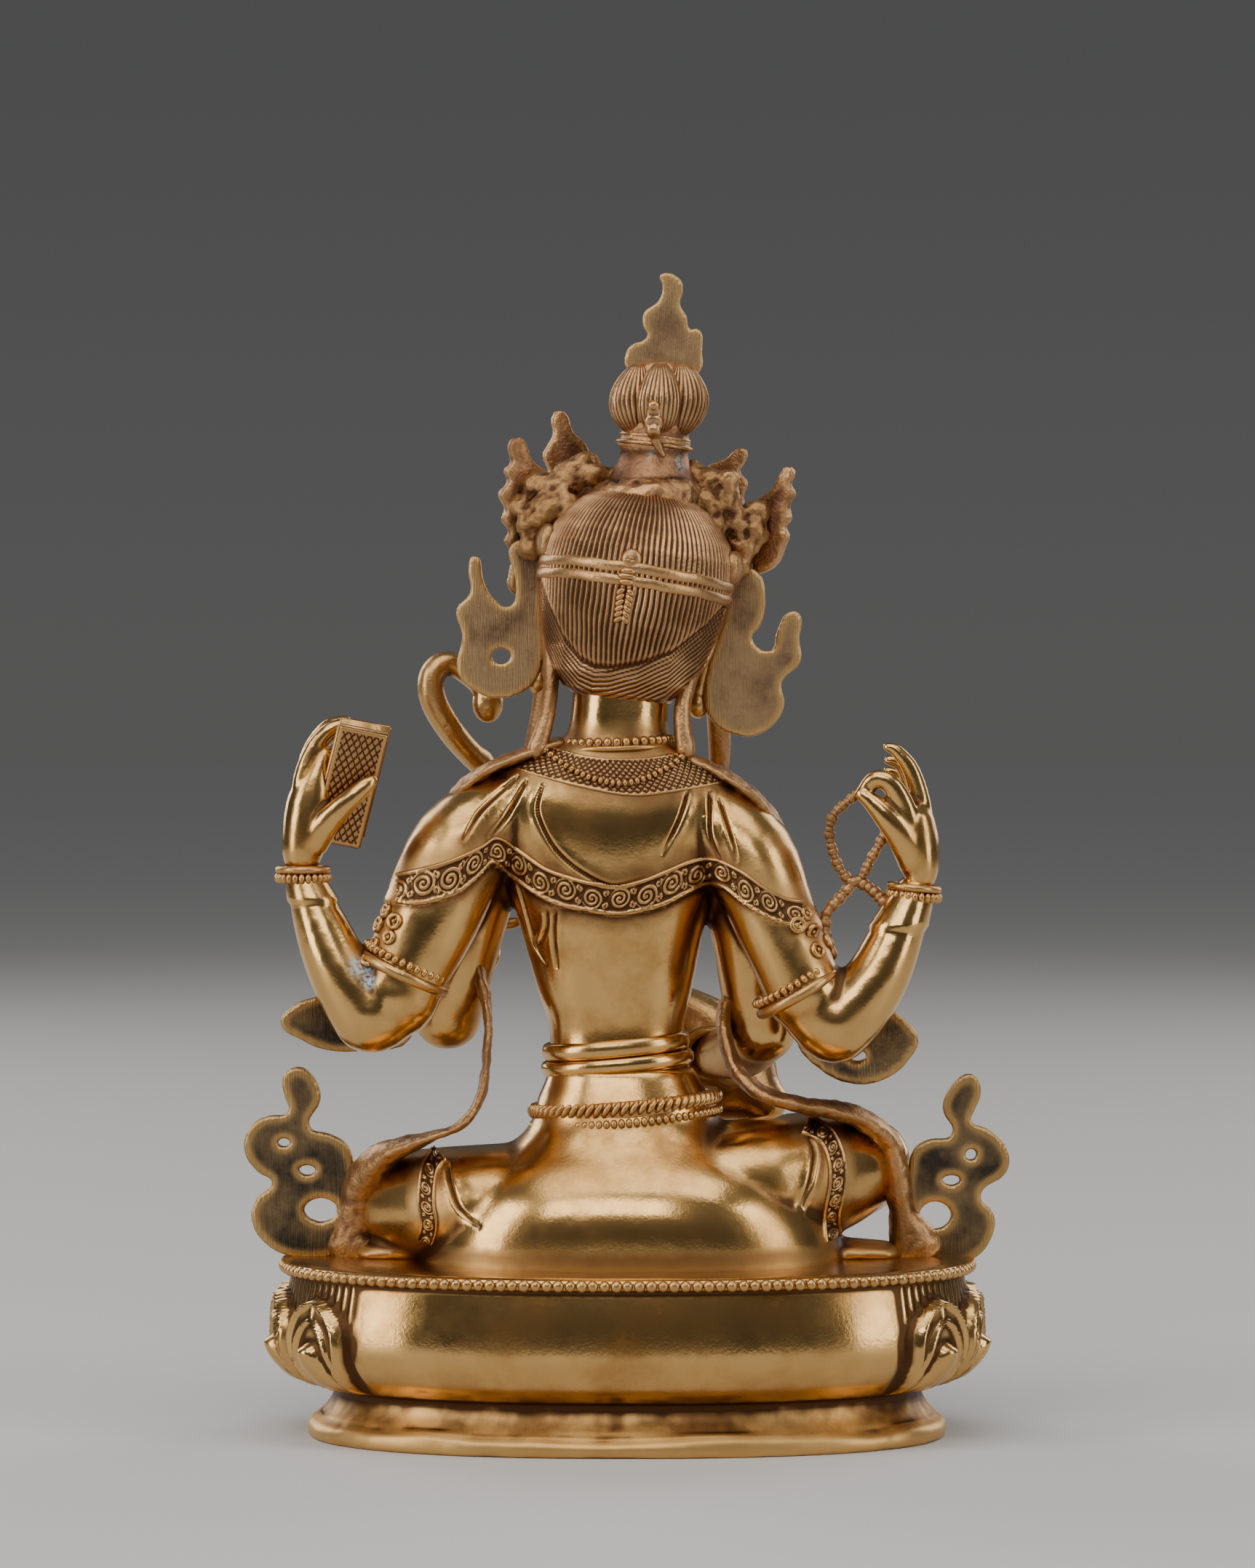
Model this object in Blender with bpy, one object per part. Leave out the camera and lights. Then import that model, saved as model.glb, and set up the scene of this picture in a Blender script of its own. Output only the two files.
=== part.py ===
"""Cast brass statue of a seated four-armed goddess with a book, a rosary and a lute, on an oval lotus base.

The front faces -Y, the back with the plain panel faces +Y, and the figure's left hand is at +X.
The origin is at the middle of the base's flat underside. Lengths of the base are in metres.
The figure is drawn in millimetres of the real casting and takes its scale from FIGURE_HEIGHT.
"""

import math

import bmesh
import bpy
from mathutils import Matrix, Vector
from mathutils.bvhtree import BVHTree
from mathutils.kdtree import KDTree

# Lotus base
BASE_HEIGHT = 0.0335
FOOT_WIDTH = 0.1206
FOOT_DEPTH = 0.0744
FOOT_HEIGHT = 0.0030
STEM_WIDTH = 0.1140
STEM_DEPTH = 0.0680
STEM_HEIGHT = 0.0100
LOTUS_WIDTH = 0.1300
LOTUS_DEPTH = 0.0830
NECK_WIDTH = 0.1270
NECK_DEPTH = 0.0790
RIM_WIDTH = 0.1322
RIM_DEPTH = 0.0830
RIM_THICKNESS = 0.0024
PANEL_WIDTH = 0.1020
PETAL_COUNT = 14
PETAL_RELIEF = 0.0028
PETAL_COLUMNS = 6
PANEL_COLUMNS = 8
OVAL_POWER = 2.35

# Figure
SEAT_GAP = 0.0003
FIGURE_HEIGHT = 0.1862
DRAWN_SEAT = 33.8
DRAWN_HEIGHT = 186.2
HEAD_CENTRE = (-1.2, 1.0, 160.0)
HEAD_ROLL = math.radians(-8.6)
VOXEL = 0.62
FIGURE_TRIANGLES = 7100

BRASS = (0.62, 0.44, 0.20, 1.0)


def clear_scene():
    for obj in list(bpy.data.objects):
        bpy.data.objects.remove(obj)


def brass_material(name, roughness):
    material = bpy.data.materials.new(name)
    material.use_nodes = True
    shader = material.node_tree.nodes["Principled BSDF"]
    shader.inputs["Base Color"].default_value = BRASS
    shader.inputs["Metallic"].default_value = 1.0
    shader.inputs["Roughness"].default_value = roughness
    return material


# Curves and rings


def blend_knots(knots, steps):
    """Catmull-Rom samples through knots of any number of values."""
    ends = [knots[0], *knots, knots[-1]]
    samples = []
    for a, b, c, d in zip(ends, ends[1:], ends[2:], ends[3:]):
        for i in range(steps):
            t = i / steps
            samples.append(
                tuple(
                    0.5 * (2 * q + (r - p) * t + (2 * p - 5 * q + 4 * r - s) * t**2 + (3 * q - p - 3 * r + s) * t**3)
                    for p, q, r, s in zip(a, b, c, d)
                )
            )
    samples.append(tuple(knots[-1]))
    return samples


def skin_rings(form, rings):
    """Joins equal rings of points into one closed tube."""
    rows = [[form.verts.new(point) for point in ring] for ring in rings]
    count = len(rows[0])
    for low, high in zip(rows, rows[1:]):
        for i in range(count):
            j = (i + 1) % count
            form.faces.new((low[i], low[j], high[j], high[i]))
    form.faces.new(list(reversed(rows[0])))
    form.faces.new(rows[-1])


def oval_ring(centre, side, other, power, sides):
    """A superellipse around centre, with the half axes side and other."""
    ring = []
    for i in range(sides):
        turn = math.tau * i / sides
        c, s = math.cos(turn), math.sin(turn)
        along = math.copysign(abs(c) ** (2 / power), c)
        across = math.copysign(abs(s) ** (2 / power), s)
        ring.append(centre + side * along + other * across)
    return ring


def stack(form, sections, steps=3, sides=20, power=2.0):
    """A closed form of level ovals. A section is x, y, z, half width, half depth."""
    rings = []
    for x, y, z, wide, deep in blend_knots(sections, steps):
        rings.append(oval_ring(Vector((x, y, z)), Vector((wide, 0, 0)), Vector((0, deep, 0)), power, sides))
    skin_rings(form, rings)


def limb(form, knots, facing=(0, 1, 0), steps=4, sides=12):
    """A closed sweep with rounded ends. A knot is x, y, z, half width, half thickness along facing."""
    samples = blend_knots(knots, steps)
    points = [Vector(sample[:3]) for sample in samples]
    rings = []
    for i, (point, sample) in enumerate(zip(points, samples)):
        along = (points[min(i + 1, len(points) - 1)] - points[max(i - 1, 0)]).normalized()
        up = Vector(facing) - along * along.dot(Vector(facing))
        up.normalize()
        side = along.cross(up)
        wide, thick = sample[3], sample[4]
        shares = ((0.0, 1.0),)
        if i == 0:
            shares = ((-0.92, 0.35), (-0.62, 0.78), (0.0, 1.0))
        if i == len(points) - 1:
            shares = ((0.0, 1.0), (0.62, 0.78), (0.92, 0.35))
        for push, share in shares:
            middle = point + along * push * min(wide, thick)
            rings.append(oval_ring(middle, side * wide * share, up * thick * share, 2.0, sides))
    skin_rings(form, rings)


def ball(form, centre, radii, matrix=None, sides=12):
    """An ellipsoid."""
    turn = matrix or Matrix.Identity(4)
    scale = Matrix.Diagonal((*radii, 1.0))
    place = Matrix.Translation(centre) @ turn @ scale
    bmesh.ops.create_uvsphere(form, u_segments=sides, v_segments=sides // 2 + 1, radius=1.0, matrix=place)


def plate(form, outline, thickness, depth, holes=(), lean=0.0):
    """A flat cut-out in the XZ plane at y = depth, with a smooth outline. A hole is x, z, half width, half height."""
    curve = bpy.data.curves.new("outline", "CURVE")
    curve.dimensions = "2D"
    curve.fill_mode = "BOTH"
    curve.extrude = thickness / 2
    curve.resolution_u = 4
    rings = [outline]
    for x, z, wide, high in holes:
        turns = [math.tau * i / 6 for i in range(6)]
        rings.append([(x + wide * math.cos(turn), z + high * math.sin(turn)) for turn in turns])
    for ring in rings:
        spline = curve.splines.new("BEZIER")
        spline.bezier_points.add(len(ring) - 1)
        for knot, (x, z) in zip(spline.bezier_points, ring):
            knot.co = (x, z, 0)
            knot.handle_left_type = knot.handle_right_type = "AUTO"
        spline.use_cyclic_u = True
    holder = bpy.data.objects.new("outline", curve)
    bpy.context.scene.collection.objects.link(holder)
    graph = bpy.context.evaluated_depsgraph_get()
    mesh = bpy.data.meshes.new_from_object(holder.evaluated_get(graph))
    bpy.data.objects.remove(holder)
    middle_x = sum(x for x, _ in outline) / len(outline)
    stand = Matrix.Translation((0, depth, 0)) @ Matrix.Rotation(math.pi / 2, 4, "X")
    pivot = Matrix.Translation((middle_x, depth, 0))
    mesh.transform(pivot @ Matrix.Rotation(lean, 4, "Z") @ pivot.inverted() @ stand)
    flat = bmesh.new()
    flat.from_mesh(mesh)
    bmesh.ops.remove_doubles(flat, verts=flat.verts, dist=0.001)
    flat.to_mesh(mesh)
    flat.free()
    form.from_mesh(mesh)
    bpy.data.meshes.remove(mesh)


def turned(form, matrix):
    bmesh.ops.transform(form, matrix=matrix, verts=form.verts)
    return form


def join_into(form, other, matrix=None):
    mesh = bpy.data.meshes.new("join")
    if matrix:
        turned(other, matrix)
    other.to_mesh(mesh)
    other.free()
    form.from_mesh(mesh)
    bpy.data.meshes.remove(mesh)


# Figure, in drawn millimetres


def seated_legs():
    """Hips and crossed legs under the robe, the right knee a little raised."""
    form = bmesh.new()
    stack(
        form,
        [
            (-0.8, 2.0, 31.5, 39.0, 26.0),
            (-0.8, 2.0, 37.0, 39.4, 26.4),
            (-0.8, 2.0, 44.0, 38.6, 25.8),
            (-0.7, 2.2, 49.5, 36.0, 24.0),
            (-0.6, 2.4, 53.2, 30.0, 20.6),
            (-0.3, 2.4, 55.6, 21.0, 16.2),
            (-0.1, 2.4, 57.4, 18.0, 14.2),
            (0.3, 2.2, 60.0, 17.0, 13.4),
            (0.6, 2.0, 64.0, 16.4, 12.6),
            (0.9, 1.5, 69.5, 15.0, 11.6),
        ],
        sides=30,
        power=2.5,
    )
    limb(form, [(12, 4, 42.0, 14, 17), (30, 1, 42.0, 13.2, 14), (43, -6, 42.2, 11.0, 10.5), (48.0, -11, 41.5, 8.0, 8.5)])
    limb(form, [(-12, 4, 45, 14, 17), (-29, 1, 48.0, 13.4, 14), (-40, -4, 50.2, 11.8, 11.5), (-45.0, -8, 51.0, 9.2, 9.5)])
    limb(form, [(47, -11, 40, 7, 7), (34, -25, 39, 6.6, 6.4), (12, -31, 38.5, 5.4, 5.2), (0, -31, 38, 4.4, 4.2)])
    limb(form, [(-45, -10, 48, 8, 8), (-31, -24, 45, 7.2, 6.8), (-12, -29, 43.5, 5.6, 5.4), (2, -28, 44, 4.6, 4.2)])
    for side in (1, -1):
        rise = 1.25 - 1.25 * side
        foot = [(-side * 2, -30, 39.5 + rise, 4.4, 3.2), (-side * 14, -27, 41 + 2 * rise, 4.6, 3.0)]
        limb(form, [*foot, (-side * 21, -24, 43.5 + 2 * rise, 4.0, 2.4)], facing=(0, 0, 1))
    limb(form, [(0, -22, 34.6, 24, 5.0), (0, -33, 34.2, 17, 2.2)], facing=(0, 0, 1))
    limb(form, [(-38, -2, 34.6, 9, 2.6), (-50, -2, 34.2, 8, 2.0)], facing=(0, 0, 1), sides=10)
    limb(form, [(38, -2, 34.6, 9, 2.6), (50, -2, 34.2, 8, 2.0)], facing=(0, 0, 1), sides=10)
    return form


def torso():
    """Waist, back, shoulders and neck, leaning slightly to the figure's left."""
    form = bmesh.new()
    stack(
        form,
        [
            (0.7, 2.0, 62.0, 16.0, 12.2),
            (1.2, 1.5, 68.5, 14.6, 11.2),
            (1.5, 1.0, 73.0, 13.3, 10.4),
            (2.4, 0.8, 84.0, 15.0, 11.4),
            (2.9, 0.6, 96.0, 17.4, 13.0),
            (3.3, 0.8, 106.0, 20.5, 14.0),
            (3.6, 1.2, 114.0, 25.0, 13.8),
            (3.8, 1.6, 120.0, 26.0, 12.4),
            (3.2, 2.0, 125.5, 20.5, 10.4),
            (2.4, 2.2, 129.5, 13.0, 8.8),
            (1.9, 2.0, 133.0, 9.4, 8.2),
            (1.4, 2.0, 140.0, 8.6, 8.0),
            (0.8, 2.0, 148.0, 8.6, 8.2),
        ],
        sides=28,
    )
    for side in (1, -1):
        ball(form, Vector((3.0 + side * 8.6, -8.6, 110.0)), (8.4, 7.4, 7.8))
    return form


def back_arm(upper, fore):
    """One raised rear arm, from the shoulder to the elbow and up to the wrist."""
    form = bmesh.new()
    limb(form, upper, sides=14)
    limb(form, [(*upper[-1][:3], upper[-1][3] * 0.9, upper[-1][4] * 0.9), *fore], sides=14)
    return form


LEFT_UPPER = [(22, 2, 118, 8, 9), (31.0, 5, 111.5, 9.4, 9.8), (37.2, 8, 98, 9.2, 9.2), (43.4, 10.5, 84, 7.8, 7.6)]
LEFT_FORE = [(48.2, 11, 80.6, 7.4, 7.0), (54.0, 10.5, 88.5, 6.2, 6.4), (57.8, 9.5, 97, 5.1, 5.2), (60.8, 8, 105, 3.5, 4.0)]
RIGHT_UPPER = [(-15, 2, 117, 8, 9), (-22.6, 5, 110, 8.6, 9.4), (-27.6, 8, 98, 7.8, 8.6), (-33.4, 10.5, 84.5, 7.4, 7.4)]
RIGHT_FORE = [(-39.0, 11, 78.8, 7.4, 7.0), (-46.2, 10.5, 86, 6.2, 6.4), (-50.4, 9.5, 94.5, 5.2, 5.4), (-53.8, 8, 102.5, 3.7, 4.2)]


def left_hand_and_book():
    """The raised left hand closed round a leaning book of two boards."""
    form = bmesh.new()
    limb(form, [(60.8, 8.0, 104, 3.3, 4.0), (61.2, 7.5, 110, 3.2, 4.2), (59.6, 7.4, 117, 4.4, 5.4), (60.0, 5.0, 122, 3.0, 5.4)])
    for depth, reach in ((5.2, 0.6), (1.6, 0.0), (-2.0, -0.8)):
        finger = [(60.8, depth + 2, 119, 1.9, 2.0), (60.0 + reach, depth + 1, 126, 1.8, 1.9)]
        finger += [(57.0 + reach, depth, 131.8, 1.6, 1.7), (53.0 + reach, depth - 1, 134.4, 1.3, 1.4)]
        limb(form, finger, sides=8)
    thumb = [(58.6, 8.5, 113.0, 3.6, 3.4), (55.2, 10.5, 117.4, 3.2, 2.6), (51.6, 11.4, 120.9, 2.3, 2.0)]
    limb(form, [*thumb, (48.4, 10.6, 123.8, 1.7, 1.6)], sides=10)
    for shift, gape in ((-1.7, -0.06), (1.3, 0.06)):
        board = bmesh.new()
        bmesh.ops.create_cube(board, size=1.0, matrix=Matrix.Diagonal((10.4, 2.0, 23.0, 1.0)))
        lean = Matrix.Rotation(math.radians(-13), 4, "Y") @ Matrix.Rotation(gape, 4, "X")
        place = Matrix.Translation((51.4, 6.2 + shift, 123.6)) @ lean @ Matrix.Rotation(0.3, 4, "Z")
        join_into(form, board, place)
    return form


def right_hand_and_rosary():
    """The raised right hand with thumb and forefinger together over a looped rosary."""
    form = bmesh.new()
    limb(form, [(-54.0, 8, 102, 3.6, 4.2), (-55.4, 7.4, 107, 3.0, 3.9), (-54.2, 6.8, 112, 3.6, 4.8), (-54.8, 5.4, 117, 2.6, 4.2)])
    long_finger = [(-55.4, 6, 112, 2.5, 2.6), (-54.2, 6.4, 120, 2.0, 2.0), (-52.0, 6.6, 126.4, 1.7, 1.7)]
    limb(form, [*long_finger, (-48.8, 6.4, 129.6, 1.2, 1.2)], sides=8)
    for depth, top in ((2.6, 127.2), (-0.8, 125.2)):
        finger = [(-55.4, depth, 114, 1.9, 1.9), (-53.6, depth, 121, 1.6, 1.7), (-50.6, depth, top, 1.2, 1.2)]
        limb(form, finger, sides=8)
    index = [(-53.4, 9.2, 114, 2.0, 2.0), (-52.0, 9.6, 121.0, 1.7, 1.7), (-48.8, 9.6, 125.6, 1.7, 1.7)]
    limb(form, [*index, (-45.4, 9.2, 124.6, 1.6, 1.6), (-43.6, 8.8, 122.0, 1.6, 1.6)], sides=8)
    thumb = [(-53.6, 8.4, 109.6, 3.2, 3.0), (-50.4, 9.8, 114.4, 2.5, 2.2), (-46.6, 9.8, 118.2, 1.9, 1.8)]
    limb(form, [*thumb, (-43.8, 9.2, 120.8, 1.5, 1.5)], sides=8)
    loop = [(-43.2, 7, 120.4), (-39.8, 6.4, 118.4), (-38.6, 5.8, 114.5), (-39.2, 5.4, 110.6), (-41.0, 5.0, 106.6)]
    loop += [(-43.6, 4.8, 104.4), (-45.6, 5.0, 108.0), (-48.0, 5.4, 112.6), (-50.0, 6.0, 116.6)]
    limb(form, [(*point, 1.35, 1.35) for point in loop], sides=7)
    tail = [(-43.6, 4.8, 104.4, 1.4, 1.4), (-40.8, 5, 102.0, 1.4, 1.4), (-37.4, 6, 98.6, 1.4, 1.4), (-38.0, 7, 92.0, 1.8, 1.8)]
    limb(form, tail, sides=7)
    limb(form, [(-44.6, 4.8, 104.6, 1.5, 1.5), (-48.0, 6, 102.6, 1.6, 1.6), (-50.0, 7, 98.5, 1.5, 1.5)], sides=7)
    return form


def front_arms():
    """The two forward arms, which hold the lute's neck and pluck its strings."""
    form = bmesh.new()
    limb(form, [(22, -2, 117, 8, 8), (29, -5, 102, 7.6, 7.6), (33, -6, 84, 7.0, 7.0), (34.5, -8, 79, 6.4, 6.4)])
    limb(form, [(35.0, -8, 78.5, 6.6, 6.4), (33.0, -18, 84, 5.6, 5.4), (28.0, -27, 95, 3.8, 3.6), (26.5, -29.5, 100, 3.6, 3.2)])
    limb(form, [(-15, -2, 115, 8, 8), (-22, -4, 100, 7.4, 7.4), (-24.5, -5, 84, 7.0, 7.0), (-25.5, -6, 77, 6.6, 6.6)])
    limb(form, [(-25.0, -6, 76, 7.0, 6.8), (-21, -16, 71, 5.6, 5.6), (-14, -25, 70, 4.0, 3.8), (-11, -29, 72, 3.6, 3.2)])
    for reach, rise in ((0.0, 0.0), (1.8, 1.7), (3.4, 3.3)):
        limb(form, [(26 + reach * 0.6, -30, 100 + rise, 1.6, 1.6), (21.5, -33.5, 101.5 + rise, 1.4, 1.4), (19.0, -31, 100 + rise, 1.2, 1.2)], sides=8)
        limb(form, [(-11, -29 - reach * 0.4, 72 + rise, 1.6, 1.6), (-7, -31.5, 75 + rise, 1.4, 1.4), (-5.5, -31, 77 + rise, 1.2, 1.2)], sides=8)
    return form


def lute():
    """A long-necked lute across the lap, its crook rising behind the figure's left shoulder."""
    form = bmesh.new()
    body = [(-26, -27, 61, 5, 4), (-20, -28.5, 66, 10.6, 7.6), (-11, -29.5, 74, 9.4, 6.8), (-2, -30, 82, 4.2, 3.8)]
    limb(form, [*body, (2, -30, 86, 2.4, 2.4)], facing=(0, 1, 0), sides=16)
    neck = [(0, -30, 84, 2.3, 2.3), (13, -29.5, 102, 2.2, 2.2), (23, -26, 118, 2.2, 2.2), (28.6, -22, 127.6, 2.6, 2.8)]
    limb(form, neck)
    crook = [(27.6, -22.6, 126, 2.5, 3.0), (33.2, -19, 132.0, 2.6, 3.2), (37.4, -17, 139.0, 2.7, 3.2)]
    crook += [(37.6, -17, 144.2, 2.6, 3.1), (34.6, -18, 146.4, 2.4, 3.0), (30.6, -19, 144.0, 2.2, 2.8)]
    limb(form, [*crook, (27.0, -21, 140.4, 2.0, 2.4)], sides=12)
    ball(form, Vector((27.0, -19.5, 138.6)), (3.2, 3.0, 4.0))
    ball(form, Vector((-19.4, -35.0, 67)), (6.5, 2.0, 6.5))
    return form


def scarf():
    """The scarf that falls from both arms over the knees to the scrolls."""
    form = bmesh.new()
    left = [(30.0, -6, 97, 2.4, 2.4), (28.4, -2, 88, 1.7, 2.6), (26.4, 1, 80, 1.3, 2.8), (26.6, 3, 72, 1.2, 2.8)]
    left += [(27.8, 5, 64.6, 1.2, 2.8), (31.2, 7, 59.6, 1.3, 3.0), (38.0, 6, 57.0, 1.5, 3.2), (46.4, 2, 54.6, 1.7, 3.6)]
    limb(form, [*left, (51.6, -1, 49.0, 2.4, 3.4), (53.0, -2, 42.0, 3.0, 3.0), (53.6, -2, 35.0, 4.4, 3.4)], sides=8)
    right = [(-21.5, -8, 86, 1.8, 2.4), (-18.4, -3, 80, 1.5, 3.0), (-19.0, 1, 73.6, 1.4, 3.2), (-21.6, 4, 68.0, 1.5, 3.4)]
    right += [(-27.0, 7, 64.4, 1.5, 3.4), (-34.0, 8, 62.8, 1.5, 3.4), (-43.0, 5, 60.8, 1.7, 3.6), (-49.4, 0, 56.0, 1.8, 3.6)]
    limb(form, [*right, (-51.6, -1, 48.0, 1.8, 3.2), (-52.4, -2, 41.0, 2.2, 3.0), (-55.0, -2, 34.8, 5.0, 3.4)], sides=8)
    return form


LEFT_SCROLL = [
    (63.0, 69.5), (60.3, 68.2), (58.4, 63.4), (60.6, 58.0), (56.8, 56.7), (53.4, 54.6), (52.0, 50.0), (51.6, 42.0),
    (53.0, 35.4), (57.0, 33.4), (63.0, 33.2), (68.0, 35.0), (71.6, 40.2), (70.6, 44.5), (67.6, 47.4), (70.4, 49.4),
    (73.0, 53.6), (71.6, 58.4), (68.4, 60.1), (64.6, 60.9), (65.4, 64.2), (65.6, 67.6),
]
RIGHT_SCROLL = [
    (-65.6, 68.1), (-67.3, 65.0), (-66.0, 61.0), (-65.4, 59.3), (-69.0, 57.4), (-72.4, 53.6), (-72.2, 49.4),
    (-67.2, 45.0), (-69.8, 41.4), (-69.4, 37.0), (-65.4, 32.6), (-58.0, 32.4), (-54.6, 36.7), (-53.6, 42.0),
    (-53.4, 48.0), (-54.6, 53.8), (-57.4, 55.6), (-61.9, 56.6), (-60.0, 61.4), (-61.4, 65.4),
]
LEFT_HOLES = [(65.4, 55.1, 1.3, 0.8), (61.0, 49.8, 1.7, 0.9), (58.4, 42.2, 3.2, 2.2)]
RIGHT_HOLES = [(-65.4, 52.8, 1.1, 1.1), (-61.7, 47.9, 1.8, 0.9), (-58.6, 41.2, 3.0, 2.6)]


def side_scrolls():
    """The two flame-shaped scarf ends that stand on the rim beside the knees."""
    form = bmesh.new()
    plate(form, LEFT_SCROLL, 2.6, -2.0, LEFT_HOLES)
    plate(form, RIGHT_SCROLL, 2.6, -2.0, RIGHT_HOLES)
    return form


def elbow_tails():
    """The scarf ends that show behind both elbows."""
    form = bmesh.new()
    left = [(41, 75.0), (49.5, 72.8), (57.6, 73.1), (62.0, 75.0), (65.9, 78.0), (63.4, 81.6), (58.5, 83.3), (50, 86), (42, 84)]
    right = [(-32, 75.0), (-36.2, 69.4), (-42.9, 66.5), (-49.4, 67.7), (-54.0, 71.9), (-55.3, 75.2), (-52.0, 79.4)]
    plate(form, left, 2.2, 2.0, [(54.2, 78.6, 1.3, 1.0)], lean=0.2)
    plate(form, [*right, (-46.0, 83.0), (-36, 82)], 2.2, 2.0, [(-43.6, 71.9, 2.0, 0.9)], lean=-0.2)
    return form


# Head, drawn upright round its centre and then rolled

LEFT_EAR_SCROLL = [
    (29.1, 166.9), (27.3, 161.8), (25.7, 158.9), (22.2, 157.2), (21.4, 162.0), (22.0, 169.0), (17.2, 169.0),
    (16.2, 157.0), (16.0, 147.0), (18.6, 141.8), (23.9, 139.7), (28.6, 140.8), (32.3, 144.6), (31.4, 151.6),
    (32.5, 156.6), (29.9, 159.6), (30.2, 164.4),
]
RIGHT_EAR_SCROLL = [
    (-24.4, 164.0), (-26.2, 158.0), (-25.2, 153.4), (-23.6, 151.0), (-27.4, 148.8), (-28.2, 151.8), (-31.4, 156.4),
    (-33.0, 155.0), (-32.6, 151.0), (-32.9, 146.6), (-29.3, 142.8), (-29.8, 138.0), (-25.0, 132.8), (-19.9, 132.9),
    (-15.4, 136.4), (-14.9, 143.7), (-18.4, 154.8), (-20.4, 164.0),
]
LEAF_EDGE = [(0.0, 5.6), (0.16, 6.2), (0.3, 4.9), (0.37, 5.5), (0.5, 3.8), (0.57, 4.2), (0.7, 2.3), (0.79, 2.4), (0.9, 1.5)]
CROWN_LEAVES = ((-70, 28, 21.0), (-36, 15, 25.0), (0, 0, 30.0), (36, 15, 25.0), (70, 28, 21.0))
FINIAL = [
    (-6.1, 219.9), (-6.7, 218.0), (-5.9, 215.0), (-3.2, 212.9), (-3.0, 210.3), (-3.8, 208.3), (-0.6, 206.6),
    (0.4, 204.7), (0.2, 202.4), (-6.0, 200.0), (-13.7, 201.6), (-14.1, 205.5), (-13.6, 209.6), (-11.6, 209.8),
    (-11.3, 211.9), (-9.9, 214.4), (-10.5, 216.8), (-9.7, 219.4),
]


def head():
    """Face, hair cap, ears and headband, round the head's own centre."""
    form = bmesh.new()
    stack(
        form,
        [
            (0, 1.0, -22.0, 5.0, 5.0),
            (0, 1.4, -19.8, 9.2, 9.4),
            (0, 1.4, -16.0, 12.6, 12.6),
            (0, 1.2, -8.0, 15.8, 15.6),
            (0, 0.8, 0.0, 17.2, 17.2),
            (0, 0.8, 6.0, 17.2, 16.8),
            (0, 0.8, 11.0, 15.2, 15.0),
            (0, 0.8, 15.5, 11.4, 11.6),
            (0, 0.8, 18.4, 6.0, 6.0),
        ],
        sides=28,
    )
    stack(form, [(0, -8, -20.5, 5.0, 6.0), (0, -7.5, -15, 9.6, 8.8), (0, -6, -6, 13.4, 11.8), (0, -5, 6, 13.5, 11.4)], sides=24)
    limb(form, [(0, -17.0, -2.0, 1.0, 1.2), (0, -19.4, -8.2, 1.4, 1.4), (0, -18.4, -9.8, 2.0, 1.4)], sides=8)
    limb(form, [(-2.8, -15.8, -13.0, 0.8, 0.8), (0, -17.0, -12.8, 1.2, 1.3), (2.8, -15.8, -13.0, 0.8, 0.8)], facing=(0, 0, 1), sides=8)
    ball(form, Vector((0, -14.6, -17.2)), (3.0, 2.2, 2.2))
    for side in (1, -1):
        brow = [(side * 1.8, -17.2, -1.2, 0.7, 0.7), (side * 5.6, -16.6, 0.4, 0.8, 0.8), (side * 9.6, -14.0, -1.2, 0.6, 0.6)]
        limb(form, brow, sides=6)
        ball(form, Vector((side * 5.2, -15.6, -4.0)), (3.0, 1.6, 1.5))
        limb(form, [(side * 15.0, -3.0, 0, 1.8, 2.6), (side * 15.5, -3.0, -10, 1.8, 2.6), (side * 14.5, -3.5, -17, 2.0, 2.2)], sides=8)
        ball(form, Vector((side * 15.2, -3.6, -20.0)), (2.8, 2.8, 2.8))
    for rise in (1.0, -1.0):
        knots = []
        for i in range(25):
            turn = math.tau * i / 24
            y = 0.8 + 17.7 * math.sin(turn)
            knots.append((17.7 * math.cos(turn), y, 1.8 + rise + 0.06 * y, 0.9, 0.8))
        limb(form, knots, facing=(0, 0, 1), steps=1, sides=6)
    ball(form, Vector((1.3, 17.8, 5.6)), (2.0, 1.4, 2.0))
    ball(form, Vector((1.6, 18.6, 2.6)), (2.0, 1.2, 2.0))
    limb(form, [(1.4, 18.4, -0.5, 2.2, 0.9), (1.2, 18.0, -5.2, 1.9, 0.8)], sides=8)
    return form


def crown_leaf(form, turn, lean, length):
    """One pointed leaf with lobed edges, standing on the band at an angle from the front."""
    edge = [(wide, rise * length) for rise, wide in LEAF_EDGE]
    outline = [*edge, (0.9, 0.98 * length), (-0.9, 0.98 * length), *[(-x, z) for x, z in reversed(edge)]]
    leaf = bmesh.new()
    plate(leaf, outline, 2.2, 0.0)
    aim = math.radians(turn)
    root = Matrix.Translation((18.2 * math.sin(aim), -18.2 * math.cos(aim), 6.6))
    lean = math.copysign(math.radians(lean), turn)
    join_into(form, leaf, root @ Matrix.Rotation(aim * 0.5, 4, "Z") @ Matrix.Rotation(lean, 4, "Y"))


def crown():
    """The crown's band and its five leaves, round the head's own centre."""
    form = bmesh.new()
    knots = []
    for i in range(15):
        turn = math.radians(-195 + 210 * i / 14)
        knots.append((18.2 * math.cos(turn), 18.2 * math.sin(turn), 7.4, 1.8, 3.2))
    limb(form, knots, facing=(0, 0, 1), steps=1, sides=8)
    for turn, lean, length in CROWN_LEAVES:
        crown_leaf(form, turn, lean, length)
    return form


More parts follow.
